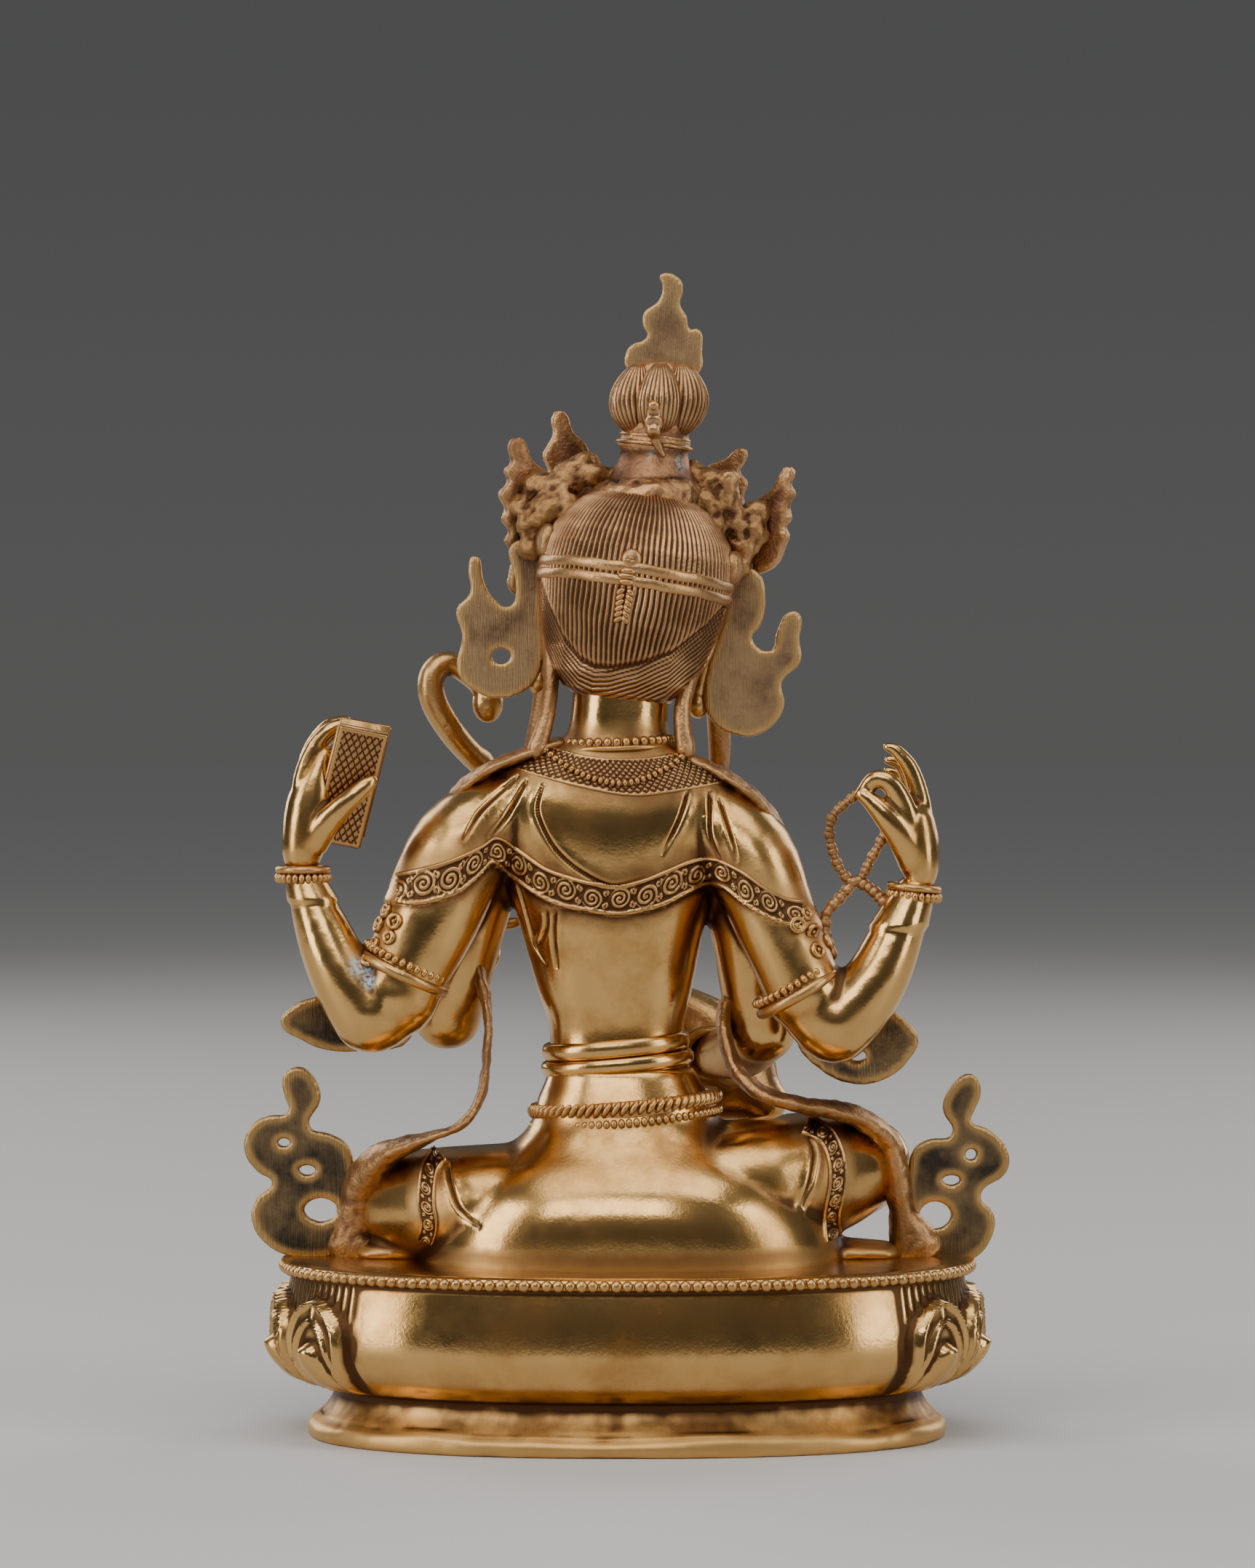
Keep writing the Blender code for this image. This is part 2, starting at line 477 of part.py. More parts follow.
def ear_scrolls():
    """The scrolled ribbons behind the ears and the ties that hang to the shoulders."""
    form = bmesh.new()
    plate(form, LEFT_EAR_SCROLL, 2.4, -2.0, [(24.0, 147.7, 1.9, 1.4)])
    plate(form, RIGHT_EAR_SCROLL, 2.4, -2.0)
    left = [(15.6, 0, 166, 1.6, 2.6), (15.2, 0, 156, 1.6, 2.8), (14.4, 3, 145, 1.6, 2.4), (15.2, 6, 136.5, 1.6, 2.0)]
    limb(form, [*left, (17.2, 7, 130, 2.0, 2.0)], sides=8)
    right = [(-19.0, 0, 163, 1.6, 2.6), (-16.6, 0, 154, 1.8, 2.8), (-12.6, 3, 146, 1.8, 2.4), (-10.3, 6, 137.5, 1.7, 2.0)]
    limb(form, [*right, (-11.0, 7, 130, 2.0, 2.0)], sides=8)
    for side in (1, -1):
        lock = [(side * 17.5, -4, 148, 3.0, 4), (side * 17.0, -6, 138, 3.2, 4), (side * 19.0, -7, 130, 3, 4)]
        limb(form, [*lock, (side * 22.0, -7, 123, 2, 3)], sides=8)
    return form


def topknot():
    """The lobed knot of hair on its ringed drum, and the flame on top."""
    form = bmesh.new()
    stack(
        form,
        [
            (-2.6, 1.0, 173.5, 10.4, 10.2),
            (-3.2, 1.0, 176.0, 10.9, 10.4),
            (-3.8, 0.6, 179.6, 10.6, 10.2),
            (-4.2, 0.4, 181.0, 8.6, 8.2),
            (-4.9, 0.0, 184.6, 6.8, 6.6),
            (-5.1, 0.0, 186.6, 6.4, 6.2),
            (-5.1, 0.0, 187.8, 7.0, 6.8),
            (-5.2, 0.0, 189.4, 6.4, 6.4),
            (-5.6, 0.0, 193.0, 6.6, 6.6),
            (-5.9, 0.0, 202.0, 4.0, 4.0),
        ],
        steps=2,
        sides=20,
    )
    for i in range(6):
        turn = math.radians(90 + 60 * i)
        middle = Vector((-5.9 + 5.3 * math.cos(turn), 5.3 * math.sin(turn), 196.3))
        ball(form, middle, (4.4, 4.4, 7.4), sides=14)
    limb(form, [(-4.8, 7.6, 188.0, 1.9, 1.2), (-4.7, 9.8, 193.8, 2.2, 1.2)], sides=8)
    plate(form, FINIAL, 3.0, -0.5)
    return form


# Dress and jewellery laid on the body


def back_point(tree, x, z, lift):
    """The point on the back of the body at x, z, raised by lift along the surface's normal."""
    hit, normal, _, _ = tree.ray_cast(Vector((x, 80, z)), Vector((0, -1, 0)))
    return hit + normal * lift, normal


HEM = [
    (43.0, 104.2), (35.6, 105.4), (30.6, 107.3), (25.6, 111.2), (21.4, 108.9), (16.4, 105.5), (11.8, 103.6),
    (7.0, 102.6), (2.2, 101.9), (-2.4, 102.6), (-6.8, 104.2), (-11.4, 106.5), (-15.6, 107.6), (-21.3, 104.6),
    (-26.4, 101.5), (-32.0, 99.3),
]
NECKLACE = [(15.2, 129.4), (11.6, 127.0), (6.8, 124.8), (1.2, 123.8), (-3.6, 124.8), (-8.4, 127.2), (-10.8, 129.0)]
LEFT_BORDER = [(35.6, 53.0), (37.5, 50.5), (37.7, 45.4), (37.2, 41.0), (38.0, 38.0)]
RIGHT_BORDER = [(-34.6, 59.0), (-38.0, 56.4), (-39.3, 52.5), (-39.3, 47.9), (-38.4, 43.0), (-38.6, 38.0)]


def laid_band(form, body, line, wide, thick):
    """A raised band of even width, laid on the back of the body along x, z points."""
    tree = BVHTree.FromBMesh(body)
    spine = []
    for x, z in line:
        point, _ = back_point(tree, x, z, -0.25 * thick)
        spine.append((*point, wide, thick))
    limb(form, spine, facing=(0, 1, 0.1), steps=3, sides=8)


def hoop(form, centre, wide, deep, thick, high, tilt_x=0.0, tilt_y=0.0):
    """A closed ring round a limb or the waist, tilted in degrees."""
    spin = Matrix.Rotation(math.radians(tilt_y), 3, "Y") @ Matrix.Rotation(math.radians(tilt_x), 3, "X")
    knots = []
    for i in range(21):
        turn = math.tau * i / 20
        point = Vector(centre) + spin @ Vector((wide * math.cos(turn), deep * math.sin(turn), 0))
        knots.append((*point, thick, high))
    limb(form, knots, facing=spin @ Vector((0, 0, 1)), steps=1, sides=6)


def jewellery():
    """Necklace, waist cords, armlets and bracelets."""
    form = bmesh.new()
    hoop(form, (0.8, 2.0, 62.0), 17.4, 13.8, 1.3, 1.3, tilt_y=5)
    hoop(form, (0.8, 2.2, 59.8), 17.2, 14.0, 1.0, 1.0, tilt_y=5)
    hoop(form, (1.2, 1.4, 72.6), 13.2, 10.4, 1.1, 1.3, tilt_y=5.5)
    hoop(form, (1.2, 1.4, 70.2), 13.8, 10.8, 1.0, 1.2, tilt_y=4.5)
    hoop(form, (2.1, 2.0, 131.2), 10.0, 9.2, 1.1, 1.1, tilt_y=2)
    hoop(form, (61.2, 7.8, 106.6), 4.1, 4.3, 1.1, 1.7)
    hoop(form, (-54.0, 7.8, 103.2), 4.1, 4.3, 1.1, 1.7, tilt_y=-6)
    hoop(form, (41.8, 9.4, 89.2), 7.9, 8.2, 1.2, 1.8, tilt_y=-25)
    hoop(form, (-31.6, 9.8, 85.4), 7.6, 7.8, 1.2, 1.8, tilt_y=30)
    hoop(form, (30.4, -23.6, 90.0), 4.8, 4.8, 1.0, 1.2, tilt_x=-55)
    hoop(form, (-16.0, -22.0, 70.4), 4.8, 4.8, 1.0, 1.2, tilt_x=80)
    return form


# Fusing, carving and facing the casting


def fused_mesh(form, voxel, rounds):
    """The form's pieces as one skin, with its joins softened."""
    mesh = bpy.data.meshes.new("wax")
    form.normal_update()
    form.to_mesh(mesh)
    holder = bpy.data.objects.new("wax", mesh)
    bpy.context.scene.collection.objects.link(holder)
    remesh = holder.modifiers.new("skin", "REMESH")
    remesh.mode = "VOXEL"
    remesh.voxel_size = voxel
    soften = holder.modifiers.new("soften", "SMOOTH")
    soften.factor = 0.5
    soften.iterations = rounds
    graph = bpy.context.evaluated_depsgraph_get()
    fused = bpy.data.meshes.new_from_object(holder.evaluated_get(graph))
    bpy.data.objects.remove(holder)
    bpy.data.meshes.remove(mesh)
    return fused


# Drapery lines on the back, as x, z points
FOLDS = [
    [(16.0, 123.4), (17.0, 119.0), (15.2, 114.0), (12.2, 110.0), (7.7, 106.7)],
    [(-11.4, 122.0), (-10.1, 116.7), (-6.7, 110.6), (-2.8, 106.1)],
    [(-15.6, 122.0), (-15.4, 114.4), (-17.3, 109.6)],
    [(-17.4, 120.6), (-19.5, 113.4), (-20.4, 109.4)],
    [(20.8, 125.0), (22.8, 117.4), (25.6, 113.8)],
    [(27.6, 118.6), (30.6, 113.4), (33.3, 110.6)],
    [(20.0, 102.0), (19.0, 98.2), (17.6, 93.2), (15.4, 89.8)],
    [(13.6, 99.4), (13.9, 95.4), (13.3, 89.2)],
    [(34.2, 52.0), (33.4, 49.0), (31.5, 44.3), (27.7, 41.2)],
    [(-34.3, 56.6), (-35.2, 54.1), (-34.3, 49.2), (-32.6, 44.7)],
]


def carve_lines(mesh, lines, width, depth):
    """Presses smooth grooves into the back of the mesh along lines of x, z points."""
    probe = bmesh.new()
    probe.from_mesh(mesh)
    tree = BVHTree.FromBMesh(probe)
    probe.free()
    samples = []
    for line in lines:
        for x, z in blend_knots(line, 10):
            samples.append(back_point(tree, x, z, 0.0)[0])
    near = KDTree(len(samples))
    for i, sample in enumerate(samples):
        near.insert(sample, i)
    near.balance()
    sunk = []
    for vertex in mesh.vertices:
        _, _, distance = near.find(vertex.co)
        if distance < width:
            press = 0.5 + 0.5 * math.cos(math.pi * distance / width)
            sunk.append((vertex, vertex.normal * depth * press))
    for vertex, shift in sunk:
        vertex.co -= shift


def figure_scale():
    """Metres of the casting to one drawn millimetre."""
    return FIGURE_HEIGHT / DRAWN_HEIGHT


def make_figure(brass):
    wax = bmesh.new()
    join_into(wax, torso())
    join_into(wax, back_arm(LEFT_UPPER, LEFT_FORE))
    join_into(wax, back_arm(RIGHT_UPPER, RIGHT_FORE))
    join_into(wax, seated_legs())
    bands = bmesh.new()
    laid_band(bands, wax, HEM, 2.8, 1.2)
    laid_band(bands, wax, NECKLACE, 1.0, 1.2)
    laid_band(bands, wax, LEFT_BORDER, 1.6, 1.0)
    laid_band(bands, wax, RIGHT_BORDER, 1.6, 1.0)
    join_into(wax, bands)
    join_into(wax, front_arms())
    join_into(wax, left_hand_and_book())
    join_into(wax, right_hand_and_rosary())
    join_into(wax, lute())
    join_into(wax, scarf())
    join_into(wax, side_scrolls())
    join_into(wax, elbow_tails())
    join_into(wax, jewellery())
    join_into(wax, topknot())
    join_into(wax, ear_scrolls())
    roll = Matrix.Translation(HEAD_CENTRE) @ Matrix.Rotation(HEAD_ROLL, 4, "Y")
    join_into(wax, head(), roll)
    join_into(wax, crown(), roll)
    bmesh.ops.recalc_face_normals(wax, faces=wax.faces)
    mesh = fused_mesh(wax, VOXEL, 2)
    wax.free()
    carve_lines(mesh, FOLDS, 1.1, 0.8)
    to_seat = Matrix.Translation((0, 0, BASE_HEIGHT + SEAT_GAP))
    mesh.transform(to_seat @ Matrix.Scale(figure_scale(), 4) @ Matrix.Translation((0, 0, -DRAWN_SEAT)))
    figure = bpy.data.objects.new("goddess_figure", mesh)
    bpy.context.scene.collection.objects.link(figure)
    mesh.materials.append(brass)
    thin = figure.modifiers.new("facets", "DECIMATE")
    thin.ratio = FIGURE_TRIANGLES / (2 * len(mesh.polygons))
    face = figure.modifiers.new("seat_face", "BOOLEAN")
    face.operation = "DIFFERENCE"
    face.object = seat_cutter()
    return figure


def seat_cutter():
    """A block that faces the underside of the figure flat, just above the base."""
    top = BASE_HEIGHT + SEAT_GAP
    mesh = bpy.data.meshes.new("seat_cutter")
    block = bmesh.new()
    bmesh.ops.create_cube(block, size=1.0, matrix=Matrix.Diagonal((0.4, 0.3, 0.04, 1.0)))
    block.to_mesh(mesh)
    block.free()
    cutter = bpy.data.objects.new("seat_cutter", mesh)
    cutter.location = (0, 0, top - 0.02)
    cutter.hide_render = True
    cutter.display_type = "WIRE"
    bpy.context.scene.collection.objects.link(cutter)
    return cutter


# Lotus base, in metres


def oval_point(turn, wide, deep):
    c, s = math.cos(turn), math.sin(turn)
    x = wide * math.copysign(abs(c) ** (2 / OVAL_POWER), c)
    y = deep * math.copysign(abs(s) ** (2 / OVAL_POWER), s)
    return x, y


def oval_columns():
    """The turn of each column round the base, and its place across its petal from -1 to 1, or None on the panel."""
    fine = 4000
    edge = next(
        math.pi / 2 - math.pi / 2 * i / fine
        for i in range(fine)
        if oval_point(math.pi / 2 - math.pi / 2 * i / fine, LOTUS_WIDTH / 2, LOTUS_DEPTH / 2)[0] > PANEL_WIDTH / 2
    )

    def even(start, end, count):
        turns = [start + (end - start) * i / fine for i in range(fine + 1)]
        spots = [Vector(oval_point(turn, LOTUS_WIDTH / 2, LOTUS_DEPTH / 2)) for turn in turns]
        run = [0.0]
        for a, b in zip(spots, spots[1:]):
            run.append(run[-1] + (b - a).length)
        found, at = [], 0
        for i in range(count):
            while run[at] < run[-1] * i / count:
                at += 1
            found.append(turns[at])
        return found

    columns = [(turn, None) for turn in even(math.pi - edge, edge, PANEL_COLUMNS)][::-1]
    columns = [(math.pi - turn, None) for turn, _ in reversed(columns)]
    petals = even(math.pi - edge, math.tau + edge, PETAL_COUNT * PETAL_COLUMNS)
    for i, turn in enumerate(petals):
        columns.append((turn, 2 * (i % PETAL_COLUMNS) / PETAL_COLUMNS - 1))
    return columns


def petal_relief(across, rise):
    """Height of the petal carving, from 0 to 1, across a petal (-1 to 1) and up it (0 to 1)."""
    if across is None or not 0 < rise < 1:
        return 0.0
    outer = 0.96 * (1 - max(0.0, (rise - 0.45) / 0.55) ** 2) ** 0.5 if rise > 0.45 else 0.7 + 0.58 * rise
    inner = 0.62 * math.sin(math.pi * min(1.0, rise / 0.72)) ** 0.6 if rise < 0.72 else 0.0
    height = 0.0
    if abs(across) < outer:
        height = 0.42 * (1 - (abs(across) / outer) ** 4)
    if inner and abs(across) < inner:
        height += 0.58 * (1 - (across / inner) ** 2) ** 0.5 * math.sin(math.pi * rise / 0.72) ** 0.7
    return height


def base_rows():
    """Rows of z, half width, half depth and the petal's rise at that height, from the foot up."""
    rim_top = BASE_HEIGHT
    rim_low = BASE_HEIGHT - RIM_THICKNESS
    bulge = STEM_HEIGHT + 0.45 * (rim_low - STEM_HEIGHT)
    rows = [
        (0.0, FOOT_WIDTH / 2, FOOT_DEPTH / 2, 0),
        (FOOT_HEIGHT, FOOT_WIDTH / 2, FOOT_DEPTH / 2, 0),
        (FOOT_HEIGHT + 0.0004, FOOT_WIDTH / 2 - 0.0014, FOOT_DEPTH / 2 - 0.0014, 0),
        (FOOT_HEIGHT + 0.0022, STEM_WIDTH / 2 + 0.0004, STEM_DEPTH / 2 + 0.0004, 0),
    ]
    steps = 7
    for i in range(steps + 1):
        rise = i / steps
        z = STEM_HEIGHT + (rim_low - 0.0006 - STEM_HEIGHT) * rise
        if z < bulge:
            swell = math.sin(math.pi / 2 * (z - STEM_HEIGHT) / (bulge - STEM_HEIGHT)) ** 0.8
            wide = STEM_WIDTH / 2 + (LOTUS_WIDTH - STEM_WIDTH) / 2 * swell
            deep = STEM_DEPTH / 2 + (LOTUS_DEPTH - STEM_DEPTH) / 2 * swell
        else:
            share = (z - bulge) / (rim_low - bulge)
            wide = LOTUS_WIDTH / 2 - (LOTUS_WIDTH - NECK_WIDTH) / 2 * share**1.5
            deep = LOTUS_DEPTH / 2 - (LOTUS_DEPTH - NECK_DEPTH) / 2 * share**1.5
        rows.append((z, wide, deep, rise * 1.12))
    rows += [
        (rim_low, RIM_WIDTH / 2 - 0.0006, RIM_DEPTH / 2 - 0.0006, 0),
        ((rim_low + rim_top) / 2, RIM_WIDTH / 2, RIM_DEPTH / 2, 0),
        (rim_top, RIM_WIDTH / 2 - 0.0006, RIM_DEPTH / 2 - 0.0006, 0),
    ]
    return rows


def make_base(brass):
    form = bmesh.new()
    columns = oval_columns()
    rings = []
    for z, wide, deep, rise in base_rows():
        ring = []
        for turn, across in columns:
            lift = PETAL_RELIEF * petal_relief(across, rise)
            x, y = oval_point(turn, wide + lift, deep + lift)
            ring.append(Vector((x, y, z)))
        rings.append(ring)
    skin_rings(form, rings)
    bmesh.ops.recalc_face_normals(form, faces=form.faces)
    mesh = bpy.data.meshes.new("lotus_base")
    form.to_mesh(mesh)
    form.free()
    mesh.materials.append(brass)
    mesh.shade_smooth()
    mesh.set_sharp_from_angle(angle=math.radians(35))
    base = bpy.data.objects.new("lotus_base", mesh)
    bpy.context.scene.collection.objects.link(base)
    return base


def main():
    clear_scene()
    brass = brass_material("polished_brass", 0.22)
    make_base(brass)
    make_figure(brass)


main()
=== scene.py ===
"""Dresses the cast brass statue of a seated four-armed goddess on her lotus base.

The figure is drawn in millimetres of the casting: x to the figure's left, y to her back, z up from the floor.
Each operator makes one group of pieces, finishes its surface and ties it to the frame.
"""

import math

import bmesh
import bpy
import numpy as np
from bpy.props import FloatProperty, FloatVectorProperty, IntProperty, PointerProperty
from bpy.types import Operator, Panel, PropertyGroup
from mathutils import Matrix, Vector, noise
from mathutils.bvhtree import BVHTree
from mathutils.kdtree import KDTree


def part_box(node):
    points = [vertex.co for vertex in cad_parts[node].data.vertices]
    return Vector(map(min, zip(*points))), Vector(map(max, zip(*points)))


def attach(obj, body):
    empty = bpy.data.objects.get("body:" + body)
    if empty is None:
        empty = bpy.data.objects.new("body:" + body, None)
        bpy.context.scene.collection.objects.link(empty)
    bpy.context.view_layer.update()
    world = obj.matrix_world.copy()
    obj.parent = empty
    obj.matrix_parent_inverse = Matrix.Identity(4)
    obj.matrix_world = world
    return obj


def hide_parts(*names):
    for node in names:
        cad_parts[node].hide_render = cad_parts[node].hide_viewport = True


bl_info = {
    "name": "Seated Goddess Statue",
    "version": (1, 0, 0),
    "blender": (4, 5, 0),
    "location": "3D View > Sidebar > Statue",
    "description": "Builds a cast brass goddess on a lotus base, with her book, rosary and lute",
    "category": "Add Mesh",
}

MM = 0.001
FIGURE_NODE = "goddess_figure"
BASE_NODE = "lotus_base"

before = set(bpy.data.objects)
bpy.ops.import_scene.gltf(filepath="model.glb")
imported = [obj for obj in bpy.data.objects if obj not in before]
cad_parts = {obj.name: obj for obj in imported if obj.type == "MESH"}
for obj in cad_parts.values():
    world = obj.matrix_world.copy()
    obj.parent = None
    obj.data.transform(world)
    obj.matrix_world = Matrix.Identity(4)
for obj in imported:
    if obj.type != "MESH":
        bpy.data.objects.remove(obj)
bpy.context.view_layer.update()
BASE_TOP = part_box(BASE_NODE)[1].z / MM

# The two sides of the statue on which lines and ornament are laid
BACK, FRONT = 1, -1
UPWARD = (0, 0, 1)

HEAD_CENTRE = (-1.2, 1, 160)
HEAD_ROLL = math.radians(-8.6)
DRUM_RIM_TOP = 181.0


# Settings


class StatueSizes(PropertyGroup):
    """Sizes of the casting's details, in millimetres unless a unit says otherwise"""

    fineness: FloatProperty(
        name="Fineness", description="Grid of the fused wax, in millimetres", default=0.5, min=0.3
    )
    fold_width: FloatProperty(
        name="Fold width", description="Half width of a carved fold line", default=0.65, min=0.3
    )
    fold_depth: FloatProperty(
        name="Fold depth", description="Depth of a carved fold line", default=0.6, min=0.0
    )
    rim_beads: IntProperty(
        name="Rim beads", description="Beads round the top of the lotus base", default=164, min=8
    )
    hair_strands: IntProperty(
        name="Hair strands", description="Combed strands round the head", default=100, min=8
    )


class StatueColours(PropertyGroup):
    """Colours of the metal, its patina and the stage"""

    brass: FloatVectorProperty(
        name="Brass", description="Polished metal", subtype="COLOR", size=4, default=(0.63, 0.375, 0.132, 1)
    )
    copper: FloatVectorProperty(
        name="Copper", description="Rough, red parts of the cast", subtype="COLOR", size=4, default=(
            0.36, 0.165, 0.075, 1.0
        )
    )
    patina: FloatVectorProperty(
        name="Patina", description="Brown in the hollows", subtype="COLOR", size=4, default=(
            0.07, 0.03, 0.013, 1.0
        )
    )
    verdigris: FloatVectorProperty(
        name="Verdigris", description="Pale blue spots", subtype="COLOR", size=4, default=(
            0.42, 0.52, 0.55, 1.0
        )
    )
    floor: FloatVectorProperty(
        name="Floor", description="Plain pale floor", subtype="COLOR", size=4, default=(0.62, 0.61, 0.59, 1)
    )


def sizes():
    """The sizes that the panel shows."""
    return bpy.context.scene.statue_sizes


def colours():
    """The colours that the panel shows."""
    return bpy.context.scene.statue_colours


# Curves and rings


def eased(amount):
    """A soft step from 0 to 1."""
    amount = min(1.0, max(0.0, amount))
    return amount * amount * (3 - 2 * amount)


def blend_knots(knots, steps):
    """Catmull-Rom samples through knots of any number of values."""
    ends = [knots[0], *knots, knots[-1]]
    samples = []
    for a, b, c, d in zip(ends, ends[1:], ends[2:], ends[3:]):
        for i in range(steps):
            t = i / steps
            samples.append(
                tuple(
                    0.5 * (
                        2 * q + (r - p) * t + (
                            2 * p - 5 * q + 4 * r - s
                        ) * t**2 + (3 * q - p - 3 * r + s) * t**3
                    )
                    for p, q, r, s in zip(a, b, c, d)
                )
            )
    samples.append(tuple(knots[-1]))
    return samples


def skin_rings(form, rings):
    """Joins equal rings of points into one closed tube."""
    rows = [[form.verts.new(point) for point in ring] for ring in rings]
    count = len(rows[0])
    for low, high in zip(rows, rows[1:]):
        for i in range(count):
            j = (i + 1) % count
            form.faces.new((low[i], low[j], high[j], high[i]))
    form.faces.new(list(reversed(rows[0])))
    form.faces.new(rows[-1])


def oval_ring(centre, side, other, power, sides):
    """A superellipse around centre, with the half axes side and other."""
    ring = []
    for i in range(sides):
        turn = math.tau * i / sides
        c, s = math.cos(turn), math.sin(turn)
        along = math.copysign(abs(c) ** (2 / power), c)
        across = math.copysign(abs(s) ** (2 / power), s)
        ring.append(centre + side * along + other * across)
    return ring


def stack(form, sections, steps=3, sides=20, power=2.0):
    """A closed form of level ovals. A section is x, y, z, half width, half depth."""
    rings = []
    for x, y, z, wide, deep in blend_knots(sections, steps):
        rings.append(oval_ring(Vector((x, y, z)), Vector((wide, 0, 0)), Vector((0, deep, 0)), power, sides))
    skin_rings(form, rings)


def limb(form, knots, facing=(0, 1, 0), steps=4, sides=12):
    """A closed sweep with rounded ends. A knot is x, y, z, half width, half thickness along facing."""
    samples = blend_knots(knots, steps)
    points = [Vector(sample[:3]) for sample in samples]
    rings = []
    for i, (point, sample) in enumerate(zip(points, samples)):
        along = (points[min(i + 1, len(points) - 1)] - points[max(i - 1, 0)]).normalized()
        up = Vector(facing) - along * along.dot(Vector(facing))
        up.normalize()
        side = along.cross(up)
        wide, thick = sample[3], sample[4]
        shares = ((0, 1),)
        if i == 0:
            shares = ((-0.92, 0.35), (-0.62, 0.78), (0, 1))
        if i == len(points) - 1:
            shares = ((0, 1), (0.62, 0.78), (0.92, 0.35))
        for push, share in shares:
            middle = point + along * push * min(wide, thick)
            rings.append(oval_ring(middle, side * wide * share, up * thick * share, 2.0, sides))
    skin_rings(form, rings)


def ball(form, centre, radii, matrix=None, sides=12):
    """An ellipsoid."""
    turn = matrix or Matrix.Identity(4)
    scale = Matrix.Diagonal((*radii, 1.0))
    place = Matrix.Translation(centre) @ turn @ scale
    bmesh.ops.create_uvsphere(form, u_segments=sides, v_segments=sides // 2 + 1, radius=1.0, matrix=place)


def plate(form, outline, thickness, depth, holes=(), lean=0.0):
    """A flat cut-out in the XZ plane at y = depth, with a smooth outline.

    A hole is x, z, half width, half height.
    """
    curve = bpy.data.curves.new("outline", "CURVE")
    curve.dimensions = "2D"
    curve.fill_mode = "BOTH"
    curve.extrude = thickness / 2
    curve.resolution_u = 4
    rings = [outline]
    for x, z, wide, high in holes:
        turns = [math.tau * i / 6 for i in range(6)]
        rings.append([(x + wide * math.cos(turn), z + high * math.sin(turn)) for turn in turns])
    for ring in rings:
        spline = curve.splines.new("BEZIER")
        spline.bezier_points.add(len(ring) - 1)
        for knot, (x, z) in zip(spline.bezier_points, ring):
            knot.co = (x, z, 0)
            knot.handle_left_type = knot.handle_right_type = "AUTO"
        spline.use_cyclic_u = True
    holder = bpy.data.objects.new("outline", curve)
    bpy.context.scene.collection.objects.link(holder)
    graph = bpy.context.evaluated_depsgraph_get()
    mesh = bpy.data.meshes.new_from_object(holder.evaluated_get(graph))
    bpy.data.objects.remove(holder)
    middle_x = sum(x for x, _ in outline) / len(outline)
    stand = Matrix.Translation((0, depth, 0)) @ Matrix.Rotation(math.pi / 2, 4, "X")
    pivot = Matrix.Translation((middle_x, depth, 0))
    mesh.transform(pivot @ Matrix.Rotation(lean, 4, "Z") @ pivot.inverted() @ stand)
    flat = bmesh.new()
    flat.from_mesh(mesh)
    bmesh.ops.remove_doubles(flat, verts=flat.verts, dist=0.001)
    flat.to_mesh(mesh)
    flat.free()
    form.from_mesh(mesh)
    bpy.data.meshes.remove(mesh)


def turned(form, matrix):
    """The form, moved by a matrix."""
    bmesh.ops.transform(form, matrix=matrix, verts=form.verts)
    return form


def join_into(form, other, matrix=None):
    """Adds another form, which is used up."""
    mesh = bpy.data.meshes.new("join")
    if matrix:
        turned(other, matrix)
    other.to_mesh(mesh)
    other.free()
    form.from_mesh(mesh)
    bpy.data.meshes.remove(mesh)


# Figure, in drawn millimetres


